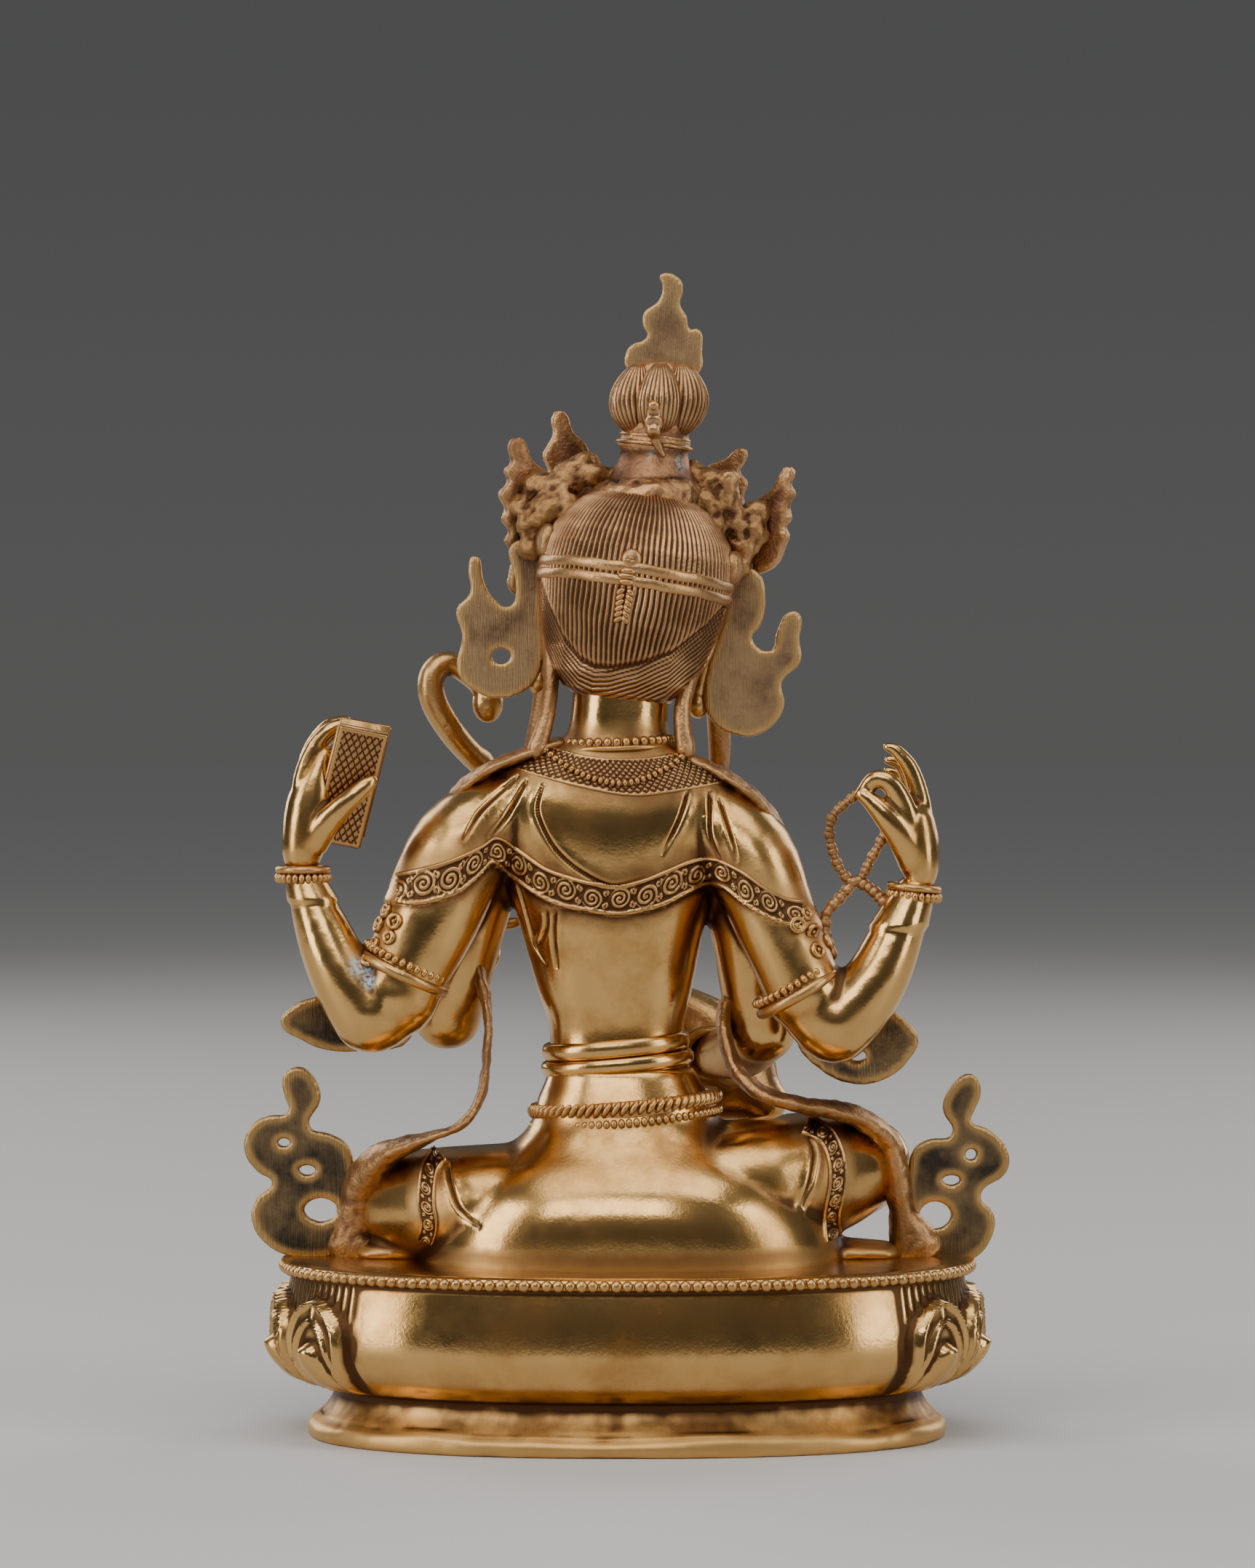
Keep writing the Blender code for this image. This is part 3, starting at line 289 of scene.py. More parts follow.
def seated_legs():
    """Hips and crossed legs under the robe, the right knee a little raised."""
    form = bmesh.new()
    stack(
        form,
        [
            (-0.8, 2, 31.5, 39.8, 26.4),
            (-0.8, 2, 36, 39.4, 26.4),
            (-0.8, 2, 40, 38.4, 26.2),
            (-0.7, 2.2, 44, 36, 25.2),
            (-0.6, 2.4, 48, 32.6, 23.2),
            (-0.4, 2.4, 51.5, 28.2, 20.6),
            (-0.2, 2.4, 54.5, 23.4, 17.8),
            (0.1, 2.4, 57.5, 19.5, 15.4),
            (0.4, 2.2, 60.5, 17.4, 13.8),
            (0.6, 2, 63.6, 16.6, 13),
            (0.9, 1.8, 67, 14.8, 11.8),
            (1.2, 1.6, 70, 13.6, 10.8),
        ],
        sides=72,
        power=2.3,
    )
    limb(
        form,
        [
            (10, 3, 44, 12, 19), (27, 3.5, 43.4, 11.8, 15.6), (40, -3, 42.8, 10.8, 12),
            (47.5, -10, 42, 8.4, 9),
        ],
        sides=24,
    )
    limb(
        form,
        [
            (-10, 3, 46, 12.5, 19), (-26, 3, 47.6, 12.8, 15.6), (-38, -3, 49.4, 11.8, 12.2),
            (-45, -8, 50.5, 9.4, 9.8),
        ],
        sides=24,
    )
    limb(
        form,
        [(47, -11, 40, 7, 7), (34, -25, 39, 6.6, 6.4), (12, -31, 38.5, 5.4, 5.2), (0, -31, 38, 4.4, 4.2)],
        sides=20,
    )
    limb(
        form,
        [
            (-45, -10, 48, 8, 8), (-31, -24, 45, 7.2, 6.8), (-12, -29, 43.5, 5.6, 5.4),
            (2, -28, 44, 4.6, 4.2),
        ],
        sides=20,
    )
    for side in (1, -1):
        rise = 1.25 - 1.25 * side
        foot = [(-side * 2, -30, 39.5 + rise, 4.4, 3.2), (-side * 14, -27, 41 + 2 * rise, 4.6, 3.0)]
        limb(form, [*foot, (-side * 21, -24, 43.5 + 2 * rise, 4.0, 2.4)], facing=UPWARD, sides=16)
    limb(form, [(0, -22, 34.6, 24, 5), (0, -33, 34.2, 17, 2.2)], facing=UPWARD, sides=20)
    limb(form, [(-38, -2, 34.6, 9, 2.6), (-50, -2, 34.2, 8, 2)], facing=UPWARD, sides=16)
    limb(form, [(38, -2, 34.6, 9, 2.6), (50, -2, 34.2, 8, 2)], facing=UPWARD, sides=16)
    return form


def torso():
    """Waist, back, shoulders and neck, leaning slightly to the figure's left."""
    form = bmesh.new()
    stack(
        form,
        [
            (0.7, 2, 62, 15.6, 11.8),
            (1.4, 1.6, 68.5, 13.6, 10.6),
            (1.9, 1.2, 73, 12.9, 10.2),
            (2.1, 0.9, 78, 12.9, 10.2),
            (2.4, 0.8, 84, 14.6, 11.2),
            (2.9, 0.6, 96, 17.4, 13),
            (3.3, 0.8, 106, 20.5, 14),
            (3.6, 1.2, 114, 25, 13.8),
            (3.8, 1.6, 120, 26.4, 12.6),
            (3.4, 2, 125.5, 21.4, 10.8),
            (2.6, 2.2, 129.3, 14, 9.2),
            (1.9, 2, 132.4, 9.6, 8.4),
            (1.5, 2, 137, 8.7, 8.1),
            (0.8, 2, 148, 8.7, 8.2),
        ],
        steps=4,
        sides=72,
    )
    for side in (1, -1):
        ball(form, Vector((3.0 + side * 7.8, -8.4, 110.6)), (8, 5.2, 7.6), sides=32)
        ball(form, Vector((3.0 + side * 7.0, -7.4, 105.0)), (8.6, 5.2, 6.4), sides=32)
    return form


def back_arm(upper, fore):
    """One raised rear arm, from the shoulder to the elbow and up to the wrist."""
    form = bmesh.new()
    limb(form, upper, sides=28)
    limb(form, [(*upper[-1][:3], upper[-1][3] * 0.9, upper[-1][4] * 0.9), *fore], sides=28)
    for knot in (upper[-1], fore[0]):
        ball(form, Vector(knot[:3]), (knot[3] * 1.04, knot[4] * 1.02, knot[3] * 1.04), sides=40)
    return form


LEFT_UPPER = [
    (22, 2, 118, 8, 9), (31, 5, 111.5, 9.4, 9.8), (37.2, 8, 98, 9.2, 9.2), (43.4, 10.5, 84, 7.8, 7.6)
]
LEFT_FORE = [
    (48.2, 11, 80.6, 7.4, 7), (54, 10.5, 88.5, 6.2, 6.4), (57.8, 9.5, 97, 5.1, 5.2),
    (60.8, 8, 105, 3.5, 4),
]
RIGHT_UPPER = [
    (-15, 2, 117, 8, 9), (-22.6, 5, 110, 8.6, 9.4), (-27.6, 8, 98, 7.8, 8.6), (-33.4, 10.5, 84.5, 7.4, 7.4)
]
RIGHT_FORE = [
    (-39, 11, 78.8, 7.4, 7), (-46.2, 10.5, 86, 6.2, 6.4), (-50.4, 9.5, 94.5, 5.2, 5.4),
    (-53.8, 8, 102.5, 3.7, 4.2),
]


FRONT_ARMS = (
    [
        (20, 0.5, 119, 6.4, 6.4), (25.5, -2, 112, 7.6, 7.8), (29.6, -5, 100, 7.4, 7.4),
        (33, -6, 86, 6.9, 6.9), (34.5, -8, 79, 6.4, 6.4),
    ],
    [
        (34.5, -8, 79, 6.4, 6.4), (33.4, -16, 82.4, 5.8, 5.6), (29.6, -25, 92, 4.2, 4),
        (27, -29, 98.6, 3, 2.8),
    ],
    [
        (-13, 0.5, 117, 6.4, 6.4), (-18.5, -2, 110, 7.4, 7.6), (-22.4, -4, 98, 7.2, 7.2),
        (-24.5, -5, 84, 6.8, 6.8), (-25.5, -6, 76.5, 6.5, 6.5),
    ],
    [
        (-25.5, -6, 76.5, 6.5, 6.5), (-22, -15, 72, 5.8, 5.8), (-16, -24, 70.4, 4.4, 4.2),
        (-12.4, -28, 71.4, 3, 2.8),
    ],
)


def front_arms():
    """The two forward arms, which hold the lute's neck and pluck its strings."""
    form = bmesh.new()
    for part in FRONT_ARMS:
        limb(form, part, sides=28)
        if part[-1][3] > 6:
            ball(form, Vector(part[-1][:3]), (part[-1][3] * 1.04,) * 3, sides=32)
    return form


def front_hands():
    """The forward hands: one presses the strings on the neck, the other plucks them."""
    form = bmesh.new()
    limb(
        form, [(27.8, -27.6, 96.6, 2.6, 2.4), (26.6, -30, 100.4, 3.8, 2.4), (25.4, -31.2, 104.4, 3.6, 2)],
        sides=20,
    )
    limb(
        form,
        [(-13.6, -27.2, 71, 2.6, 2.4), (-10.6, -30.6, 72.8, 3.4, 2.4), (-8, -33, 75, 3, 1.9)],
        sides=20,
    )
    for i in range(4):
        rise = 1.9 * i
        finger = [
            (26.6 - 0.5 * i, -31, 99.8 + rise, 1.3, 1.3), (23.6 - 0.5 * i, -34.6, 101.4 + rise, 1.2, 1.2)
        ]
        limb(
            form,
            [
                *finger, (20.4 - 0.4 * i, -34.4, 101.0 + rise, 1.1, 1.1),
                (18.8, -32.4, 100.2 + rise, 0.9, 0.9),
            ],
            sides=12,
        )
        pluck = [
            (-9.2 + 0.4 * i, -32.2 - 0.3 * i, 71.4 + 1.7 * i, 1.3, 1.3),
            (-6.2, -35.2, 73.4 + 1.7 * i, 1.15, 1.15),
        ]
        limb(
            form, [*pluck, (-3.6, -34.6, 75.6 + 1.7 * i, 1.0, 1.0), (-3.0, -33.2, 77 + 1.7 * i, 0.8, 0.8)],
            sides=12,
        )
    limb(
        form, [(27.4, -31, 98, 1.4, 1.4), (24.6, -30.6, 95.4, 1.3, 1.3), (21.6, -30.6, 95.6, 1.1, 1.1)],
        sides=12,
    )
    limb(
        form,
        [(-11.6, -30.6, 74.4, 1.5, 1.5), (-9.4, -33.6, 78, 1.3, 1.3), (-6.6, -35, 80, 1, 1)],
        sides=12,
    )
    return form


def lute_fittings(tree):
    """Strings, bridge, rose and pegs of the lute."""
    form = bmesh.new()
    for shift in (-1.2, 0, 1.2):
        low = side_point(tree, -20.6 + shift * 0.7, 65.6 - shift * 0.7, FRONT)[0] - Vector((0, 1.2, 0))
        nut = Vector((26.2 + shift * 0.5, -29.6, 123.2 - shift * 0.4))
        spots = [low.lerp(nut, share) for share in (0, 0.3, 0.6, 1)]
        limb(form, [(*spot, 0.24, 0.24) for spot in spots], steps=2, sides=8)
    bridge = [side_point(tree, -20.6 + reach, 65.6 - reach, FRONT)[0] for reach in (-2.2, 0, 2.2)]
    limb(form, [(*spot, 0.8, 1.3) for spot in bridge])
    for x, z, radius, tube in ((-15.6, 70.4, 3.4, 0.45), (-15.6, 70.4, 2.2, 0.35), (-15.6, 70.4, 0.9, 0.4)):
        point, normal = side_point(tree, x, z, FRONT)
        stud_ring(form, point, normal, radius, tube)
    for share in (-0.95, -0.45, 0.05):
        spot = Vector((24.6 + 4.6 * share, -27.6 + 2.4 * share, 120.6 + 6.0 * share))
        for side in (1, -1):
            out = Vector((0.8, 0, -0.6)) * side
            peg = [
                (*(spot + out * reach), thick, thick)
                for reach, thick in ((1, 0.7), (4.6, 0.55), (5.6, 1.1), (7, 1))
            ]
            limb(form, peg)
    return form


def lute():
    """A long-necked lute across the lap, its crook rising behind the figure's left shoulder."""
    form = bmesh.new()
    body = [
        (-26, -28, 61, 5.4, 5.4), (-20, -29, 66, 10.8, 7.8), (-11, -30, 74, 9.4, 6.8),
        (-2, -30.4, 82, 4.4, 4),
    ]
    limb(form, [*body, (2, -30, 86, 2.4, 2.4)], sides=32)
    neck = [
        (0, -30, 84, 2.3, 2.3), (13, -29.5, 102, 2.2, 2.2), (23, -26, 118, 2.2, 2.2),
        (28.6, -22, 127.6, 2.6, 2.8),
    ]
    limb(form, neck)
    crook = [(27.6, -22.6, 126, 2.5, 3), (33.2, -19, 132, 2.6, 3.2), (37.4, -17, 139, 2.7, 3.2)]
    crook += [(37.6, -17, 144.2, 2.6, 3.1), (34.6, -18, 146.4, 2.4, 3), (30.6, -19, 144, 2.2, 2.8)]
    limb(form, [*crook, (27, -21, 140.4, 2, 2.4)])
    ball(form, Vector((27, -19.5, 138.6)), (3.2, 3, 4))
    return form


def scarf():
    """The scarf that falls from both arms over the knees to the scrolls."""
    form = bmesh.new()
    left = [
        (30, -6, 97, 2.4, 2.4), (28.4, -2, 88, 1.5, 2.4), (26.6, 1, 80, 0.95, 2.6),
        (26.7, 3, 72, 0.9, 2.6),
    ]
    left += [
        (27.8, 5, 64.6, 0.9, 2.8), (31.2, 8, 59.4, 0.9, 3.2), (38, 8, 56.6, 1.1, 4),
        (45.4, 4, 53.4, 2.6, 5),
    ]
    limb(
        form, [*left, (49.6, 0, 48, 4.2, 4.8), (50.6, -2, 41, 4.8, 4.2), (51, -2, 35, 6.8, 4.4)],
        sides=16,
    )
    left_yoke = [(12.6, 4, 131.2, 1.3, 3.8), (20, 4, 128.9, 1.3, 5.2), (27, 4, 125.9, 1.4, 5.6)]
    limb(form, [*left_yoke, (32.4, 2, 121, 1.6, 4.6), (35.4, -2, 113, 1.4, 3.8)], sides=16)
    right_yoke = [(-10.2, 4, 128.7, 1.3, 3.8), (-17, 4, 125.7, 1.3, 5.2), (-23.6, 4, 121.2, 1.4, 5.6)]
    limb(form, [*right_yoke, (-28, 2, 115.4, 1.6, 4.4), (-30, -2, 108, 1.4, 3.6)], sides=16)
    right = [
        (-21.5, -8, 86, 1.8, 2.4), (-18.4, -3, 80, 1.5, 3), (-19, 1, 73.6, 1.4, 3.2),
        (-21.6, 4, 68, 1.5, 3.4),
    ]
    right += [
        (-27, 7, 64.4, 1.5, 3.8), (-34, 8, 62.8, 1.6, 4.4), (-43, 5, 60.6, 2, 4.8),
        (-49.4, 0, 55.6, 2.4, 4.4),
    ]
    limb(
        form,
        [*right, (-51.4, -1, 48, 2.6, 3.6), (-52.6, -2, 41, 3, 3.4), (-55, -2, 34.8, 5.8, 3.8)],
        sides=16,
    )
    return form


LEFT_SCROLL = [
    (63, 69.5), (60.3, 68.2), (58.4, 63.4), (60.6, 58), (56.8, 56.7), (53.4, 54.6), (52, 50),
    (51.6, 42),
    (53, 35.4), (57, 33.4), (63, 33.2), (68, 35), (71.6, 40.2), (70.6, 44.5), (67.6, 47.4),
    (70.4, 49.4),
    (73, 53.6), (71.6, 58.4), (68.4, 60.1), (64.6, 60.9), (65.4, 64.2), (65.6, 67.6),
]
RIGHT_SCROLL = [
    (-65.6, 68.1), (-67.3, 65), (-66, 61), (-65.4, 59.3), (-69, 57.4), (-72.4, 53.6), (-72.2, 49.4),
    (-67.2, 45), (-69.8, 41.4), (-69.4, 37), (-65.4, 32.6), (-58, 32.4), (-54.6, 36.7), (-53.6, 42),
    (-53.4, 48), (-54.6, 53.8), (-57.4, 55.6), (-61.9, 56.6), (-60, 61.4), (-61.4, 65.4),
]
LEFT_HOLES = [(65.4, 55.1, 1.3, 0.8), (61, 49.8, 1.7, 0.9), (58.4, 42.2, 3.2, 2.2)]
RIGHT_HOLES = [(-65.4, 52.8, 1.1, 1.1), (-61.7, 47.9, 1.8, 0.9), (-58.6, 41.2, 3, 2.6)]


def side_scrolls():
    """The two flame-shaped scarf ends that stand on the rim beside the knees."""
    form = bmesh.new()
    plate(form, LEFT_SCROLL, 2.6, -2.0, LEFT_HOLES)
    plate(form, RIGHT_SCROLL, 2.6, -2.0, RIGHT_HOLES)
    return form


def elbow_tails():
    """The scarf ends that show behind both elbows."""
    form = bmesh.new()
    left = [
        (41, 75), (49.5, 72.8), (57.6, 73.1), (62, 75), (65.9, 78), (63.4, 81.6), (58.5, 83.3),
        (50, 86), (42, 84),
    ]
    right = [
        (-32, 75), (-36.2, 69.4), (-42.9, 66.5), (-49.4, 67.7), (-54, 71.9), (-55.3, 75.2),
        (-52, 79.4),
    ]
    plate(form, left, 2.2, 2.0, [(54.2, 78.6, 1.3, 1)], lean=0.2)
    plate(form, [*right, (-46, 83), (-36, 82)], 2.2, 2.0, [(-43.6, 71.9, 2, 0.9)], lean=-0.2)
    return form


# Head, drawn upright round its centre and then rolled

LEFT_EAR_SCROLL = [
    (29.1, 166.9), (27.3, 161.8), (25.7, 158.9), (22.2, 157.2), (21.4, 162), (22, 169), (17.2, 169),
    (16.2, 157), (16, 147), (18.6, 141.8), (23.9, 139.7), (28.6, 140.8), (32.3, 144.6), (31.4, 151.6),
    (32.5, 156.6), (29.9, 159.6), (30.2, 164.4),
]
RIGHT_EAR_SCROLL = [
    (-24.4, 164), (-26.2, 158), (-25.2, 153.4), (-23.6, 151), (-27.4, 148.8), (-28.2, 151.8),
    (-31.4, 156.4),
    (-33, 155), (-32.6, 151), (-32.9, 146.6), (-29.3, 142.8), (-29.8, 138), (-25, 132.8),
    (-19.9, 132.9),
    (-15.4, 136.4), (-14.9, 143.7), (-18.4, 154.8), (-20.4, 164),
]
LEFT_OUTER_LEAF = [
    (21.1, 189.4), (19.1, 187.4), (18.3, 185.1), (15.2, 183.1), (12.4, 178), (15.6, 172.2), (17.2, 168),
    (17.6, 160),
    (22.4, 160), (22.4, 164.4), (21.6, 166.8), (23.4, 169.6), (22.6, 171.4), (24.2, 173.6), (23.4, 175.6),
    (24.8, 178.4),
    (22.9, 181.2), (23.6, 183), (22.3, 184.6), (22.9, 187.8),
]
LEFT_INNER_LEAF = [
    (13.2, 194.9), (11.5, 193.7), (10.7, 190.8), (8.6, 189.1), (7, 186), (7, 176), (14, 174),
    (15.4, 183.6),
    (16.3, 186.3), (15.4, 187.9), (14.2, 190.4), (14.5, 193.2),
]
RIGHT_INNER_LEAF = [
    (-22, 187.7), (-23.1, 186.7), (-22.4, 184.6), (-21.4, 183.2), (-23.2, 180.9), (-22.4, 178.6),
    (-22.6, 174),
    (-14.8, 172), (-13, 181), (-15.2, 184), (-18.9, 185.6),
]
RIGHT_OUTER_LEAF = [
    (-30.8, 183.8), (-32.2, 182.5), (-31.4, 180.4), (-32.2, 178.4), (-31, 176.2), (-31.6, 173.6),
    (-30.2, 172.4),
    (-31, 170.6), (-30, 168.4), (-28.8, 165.6), (-25.6, 163.6), (-22, 163.6), (-20.4, 169),
    (-21, 176.4),
    (-24.6, 177.7), (-27.5, 179.4), (-29.1, 181.8),
]
FRONT_LEAF = [
    (-6, 196), (-4.6, 191), (-2.4, 188.4), (-3, 185.6), (0.2, 182.6), (-0.6, 179.6), (2.6, 176.4),
    (2.4, 170),
    (-10.4, 170), (-11.4, 175.4), (-9.4, 178.4), (-11.4, 181.6), (-8.6, 184.4), (-9.6, 187.6),
    (-7.4, 190.6),
]
CAST_LUMPS = [
    (15.5, 2, 175, 3.2), (13.6, 1, 179, 2.8), (10.8, 0, 182, 2.8), (8.2, 0, 184, 2.2), (17.5, 0, 180, 2.4),
    (18.6, 1, 173, 2.8),
    (12, 3, 175.6, 2.6), (6.6, 1, 182, 2.2), (18.8, 1, 168, 2.2), (-16.5, 2, 173, 3),
    (-18.6, 1, 177, 2.8), (-15.8, 1, 180, 2.6),
    (-21, 0, 173, 2.8), (-22.4, 0, 169, 2.6), (-14.8, 3, 176.6, 2.6), (-19.6, 2, 181, 2),
    (-12.8, 0, 182.4, 2),
    (-21.6, 0, 165, 2.4), (-24.6, 0, 171, 2.4), (3.4, 0, 181.6, 2), (-25.4, 0, 175, 2),
    (20.8, 0, 176, 2),
]
FINIAL = [
    (-6.1, 219.9), (-6.7, 218), (-5.9, 215), (-3.2, 212.9), (-3, 210.3), (-3.8, 208.3), (-0.6, 206.6),
    (0.4, 204.7), (0.2, 202.4), (-6, 200), (-13.7, 201.6), (-14.1, 205.5), (-13.6, 209.6), (-11.6, 209.8),
    (-11.3, 211.9), (-9.9, 214.4), (-10.5, 216.8), (-9.7, 219.4),
]


def head():
    """Face, hair cap, ears and headband, round the head's own centre."""
    form = bmesh.new()
    stack(
        form,
        [
            (0, -1.6, -21.6, 4.6, 4.6),
            (0, -1.2, -19.8, 8.4, 8.4),
            (0, -0.8, -16, 11.6, 11.6),
            (0, -0.6, -8, 14.8, 14.8),
            (0, -0.4, 0, 16.2, 16.2),
            (0, -0.4, 6, 16.2, 16),
            (0, 0, 11, 14.4, 14.2),
            (0, 0.4, 15.5, 10.6, 10.8),
            (0, 0.8, 18.4, 6, 6),
        ],
        sides=56,
    )
    stack(
        form,
        [
            (0, -8, -20.5, 5, 6), (0, -7.5, -15, 9.6, 8.8), (0, -6, -6, 13.4, 11.8),
            (0, -5, 6, 13.5, 11.4),
        ],
        sides=24,
    )
    nose = [
        (0, -16.4, -0.6, 0.9, 1), (0, -17.2, -4, 0.9, 1.2), (0, -18.5, -7.8, 1.3, 1.5),
        (0, -18, -9, 1.7, 1.2),
    ]
    limb(form, nose, sides=16)
    for side in (-1, 1):
        upper_lip = [(side * 3.3, -15.7, -12.4, 0.4, 0.4), (side * 1.2, -17.1, -11.9, 0.8, 0.8)]
        limb(form, [*upper_lip, (0, -17.2, -12.3, 0.7, 0.7)], facing=UPWARD)
    lower_lip = [(-2.8, -15.5, -13.5, 0.4, 0.4), (0, -16.9, -14.2, 0.9, 0.9), (2.8, -15.5, -13.5, 0.4, 0.4)]
    limb(form, lower_lip, facing=UPWARD)
    ball(form, Vector((0, -13.4, -17.8)), (3.4, 2.2, 2.2), sides=24)
    for side in (1, -1):
        ball(form, Vector((side * 1.5, -17.3, -8.9)), (0.95, 1, 0.8), sides=16)
        brow = [
            (side * 1.8, -16.9, -0.8, 0.5, 0.8), (side * 5.6, -16.3, 1.0, 0.55, 0.9),
            (side * 10.0, -13.5, -1.1, 0.4, 0.6),
        ]
        limb(form, brow)
        ball(form, Vector((side * 5.5, -14.6, -4.2)), (3.3, 2.2, 1.7), sides=32)
        lid = [
            (side * 2.1, -16.0, -4.7, 0.4, 0.6), (side * 5.4, -16.9, -3.7, 0.55, 0.8),
            (side * 9.0, -14.4, -4.8, 0.4, 0.6),
        ]
        limb(form, lid)
        under = [
            (side * 2.4, -15.9, -5.2, 0.3, 0.5), (side * 5.4, -16.5, -6.1, 0.4, 0.6),
            (side * 8.6, -14.4, -5.2, 0.3, 0.5),
        ]
        limb(form, under)
        limb(
            form,
            [
                (side * 15.4, -4.0, 0, 1.3, 2.4), (side * 15.9, -4.0, -8, 1.2, 2.2),
                (side * 15.2, -4.4, -17, 1.6, 1.8),
            ],
            sides=16,
        )
        ball(form, Vector((side * 15.4, -4.8, -19.6)), (2, 2.6, 2.6), sides=24)
    return form


def side_locks():
    """Combed locks that run from the temples down behind the jaw."""
    form = bmesh.new()
    for side in (1, -1):
        for i in range(6):
            back = 1.15 * i
            lock = [
                (side * (13.8 + 0.2 * back), -9.4 + back, 6.0, 0.95, 0.95),
                (side * (14.9 + 0.28 * back), -8.0 + back, -2.0, 0.95, 0.95),
            ]
            lock += [
                (side * (13.2 + 0.36 * back), -6.4 + back, -11.0, 0.95, 0.95),
                (side * (8.6 + 0.3 * back), -3.6 + back, -18.0, 0.95, 0.95),
            ]
            limb(form, [*lock, (side * 5.0, 1.0 + 0.6 * back, -20.0, 0.8, 0.8)], sides=10)
    return form


def crown_band():
    """The crown's band, round the head's own centre."""
    form = bmesh.new()
    knots = []
    for i in range(31):
        turn = math.radians(-195 + 210 * i / 30)
        knots.append((18.2 * math.cos(turn), 18.2 * math.sin(turn), 7.0, 1.8, 3.4))
    limb(form, knots, facing=UPWARD, steps=1, sides=16)
    return form


def crown_leaves():
    """The five lobed leaves of the crown and its band."""
    form = bmesh.new()
    plate(form, LEFT_OUTER_LEAF, 2.2, -3.0, lean=0.5)
    plate(form, LEFT_INNER_LEAF, 2.2, -12.0, lean=0.25)
    plate(form, RIGHT_INNER_LEAF, 2.2, -12.0, lean=-0.25)
    plate(form, RIGHT_OUTER_LEAF, 2.2, -3.0, lean=-0.5)
    plate(form, FRONT_LEAF, 2.2, -17.0)
    join_into(form, turned(crown_band(), head_roll()))
    return form


def casting_mass():
    """The rough metal left between the crown's leaves and the head."""
    form = bmesh.new()
    for i, (x, y, z, radius) in enumerate(CAST_LUMPS):
        ball(form, Vector((x * 0.97, y - 1, z)), (radius * 1.25, radius * 1.3, radius * 1.25), sides=20)
    return form


def ear_plates():
    """The scrolled ribbons behind the ears, filed flat at the back."""
    form = bmesh.new()
    plate(form, LEFT_EAR_SCROLL, 2.4, -2.0, [(24, 147.7, 1.9, 1.4)])
    plate(form, RIGHT_EAR_SCROLL, 2.4, -2.0)
    return form


def ear_ties():
    """The ties that hang from the crown to the shoulders, and the locks before them."""
    form = bmesh.new()
    left = [
        (15.6, 0, 166, 1.6, 2.6), (15.2, 0, 156, 1.6, 2.8), (14.4, 3, 145, 1.6, 2.4),
        (15.2, 6, 136.5, 1.6, 2),
    ]
    limb(form, [*left, (17.2, 7, 130, 2, 2)], sides=8)
    right = [
        (-19, 0, 163, 1.6, 2.6), (-16.6, 0, 154, 1.8, 2.8), (-12.6, 3, 146, 1.8, 2.4),
        (-10.3, 6, 137.5, 1.7, 2),
    ]
    limb(form, [*right, (-11, 7, 130, 2, 2)], sides=8)
    for side in (1, -1):
        lock = [
            (side * 17.0 - 1, -3, 148, 1.8, 1.8), (side * 16.6 - 0.6, -4.6, 139, 2.2, 2.2),
            (side * 17.6, -7, 130, 2.2, 2.0),
        ]
        limb(
            form, [*lock, (side * 18.0 + 1, -11.0, 122.6, 1.6, 1.2), (side * 17 + 2, -12.6, 117, 0.8, 0.6)],
            sides=16,
        )
    return form


# Fusing, carving and finishing


def fused_mesh(form, voxel, rounds):
    """The form's pieces as one skin, with its joins softened."""
    mesh = bpy.data.meshes.new("wax")
    bmesh.ops.recalc_face_normals(form, faces=form.faces)
    form.to_mesh(mesh)
    form.free()
    holder = bpy.data.objects.new("wax", mesh)
    bpy.context.scene.collection.objects.link(holder)
    remesh = holder.modifiers.new("skin", "REMESH")
    remesh.mode = "VOXEL"
    remesh.voxel_size = voxel
    soften = holder.modifiers.new("soften", "SMOOTH")
    soften.factor = 0.5
    soften.iterations = rounds
    graph = bpy.context.evaluated_depsgraph_get()
    fused = bpy.data.meshes.new_from_object(holder.evaluated_get(graph))
    bpy.data.objects.remove(holder)
    bpy.data.meshes.remove(mesh)
    return fused


def mesh_of(form):
    """A form as a mesh, as it is."""
    mesh = bpy.data.meshes.new("form")
    bmesh.ops.recalc_face_normals(form, faces=form.faces)
    form.to_mesh(mesh)
    form.free()
    return mesh


def tree_of(mesh):
    """The mesh as a tree that rays can be cast at."""
    probe = bmesh.new()
    probe.from_mesh(mesh)
    tree = BVHTree.FromBMesh(probe)
    probe.free()
    return tree


def vertex_places(mesh):
    """Places of a mesh's vertices, a row each."""
    places = np.empty(len(mesh.vertices) * 3)
    mesh.vertices.foreach_get("co", places)
    return places.reshape(-1, 3)


def vertex_normals(mesh):
    """Normals of a mesh's vertices, a row each."""
    normals = np.empty(len(mesh.vertices) * 3)
    mesh.vertices.foreach_get("normal", normals)
    return normals.reshape(-1, 3)


def set_places(mesh, places):
    """Moves a mesh's vertices to new places."""
    mesh.vertices.foreach_set("co", places.ravel())
    mesh.update()


def side_point(tree, x, z, side=BACK):
    """The point and normal of the surface at x, z, seen from the back (side 1) or the front (side -1)."""
    hit, normal, _, _ = tree.ray_cast(Vector((x, 90.0 * side, z)), Vector((0, -side, 0)))
    if hit is None:
        hit, normal, _, _ = tree.find_nearest(Vector((x, 4.0 * side, z)))
    return hit, normal


def fold_samples(tree, lines, side):
    """Points along fold lines, each with its share of the full depth, which fades towards a line's end."""
    samples = []
    for line in lines:
        run = even_run(line, 60)
        for i, (x, z) in enumerate(run):
            share = i / (len(run) - 1)
            samples.append(
                (side_point(tree, x, z, side)[0], min(1.0, 0.35 + 8 * share, 0.2 + 2.2 * (1 - share)))
            )
    return samples


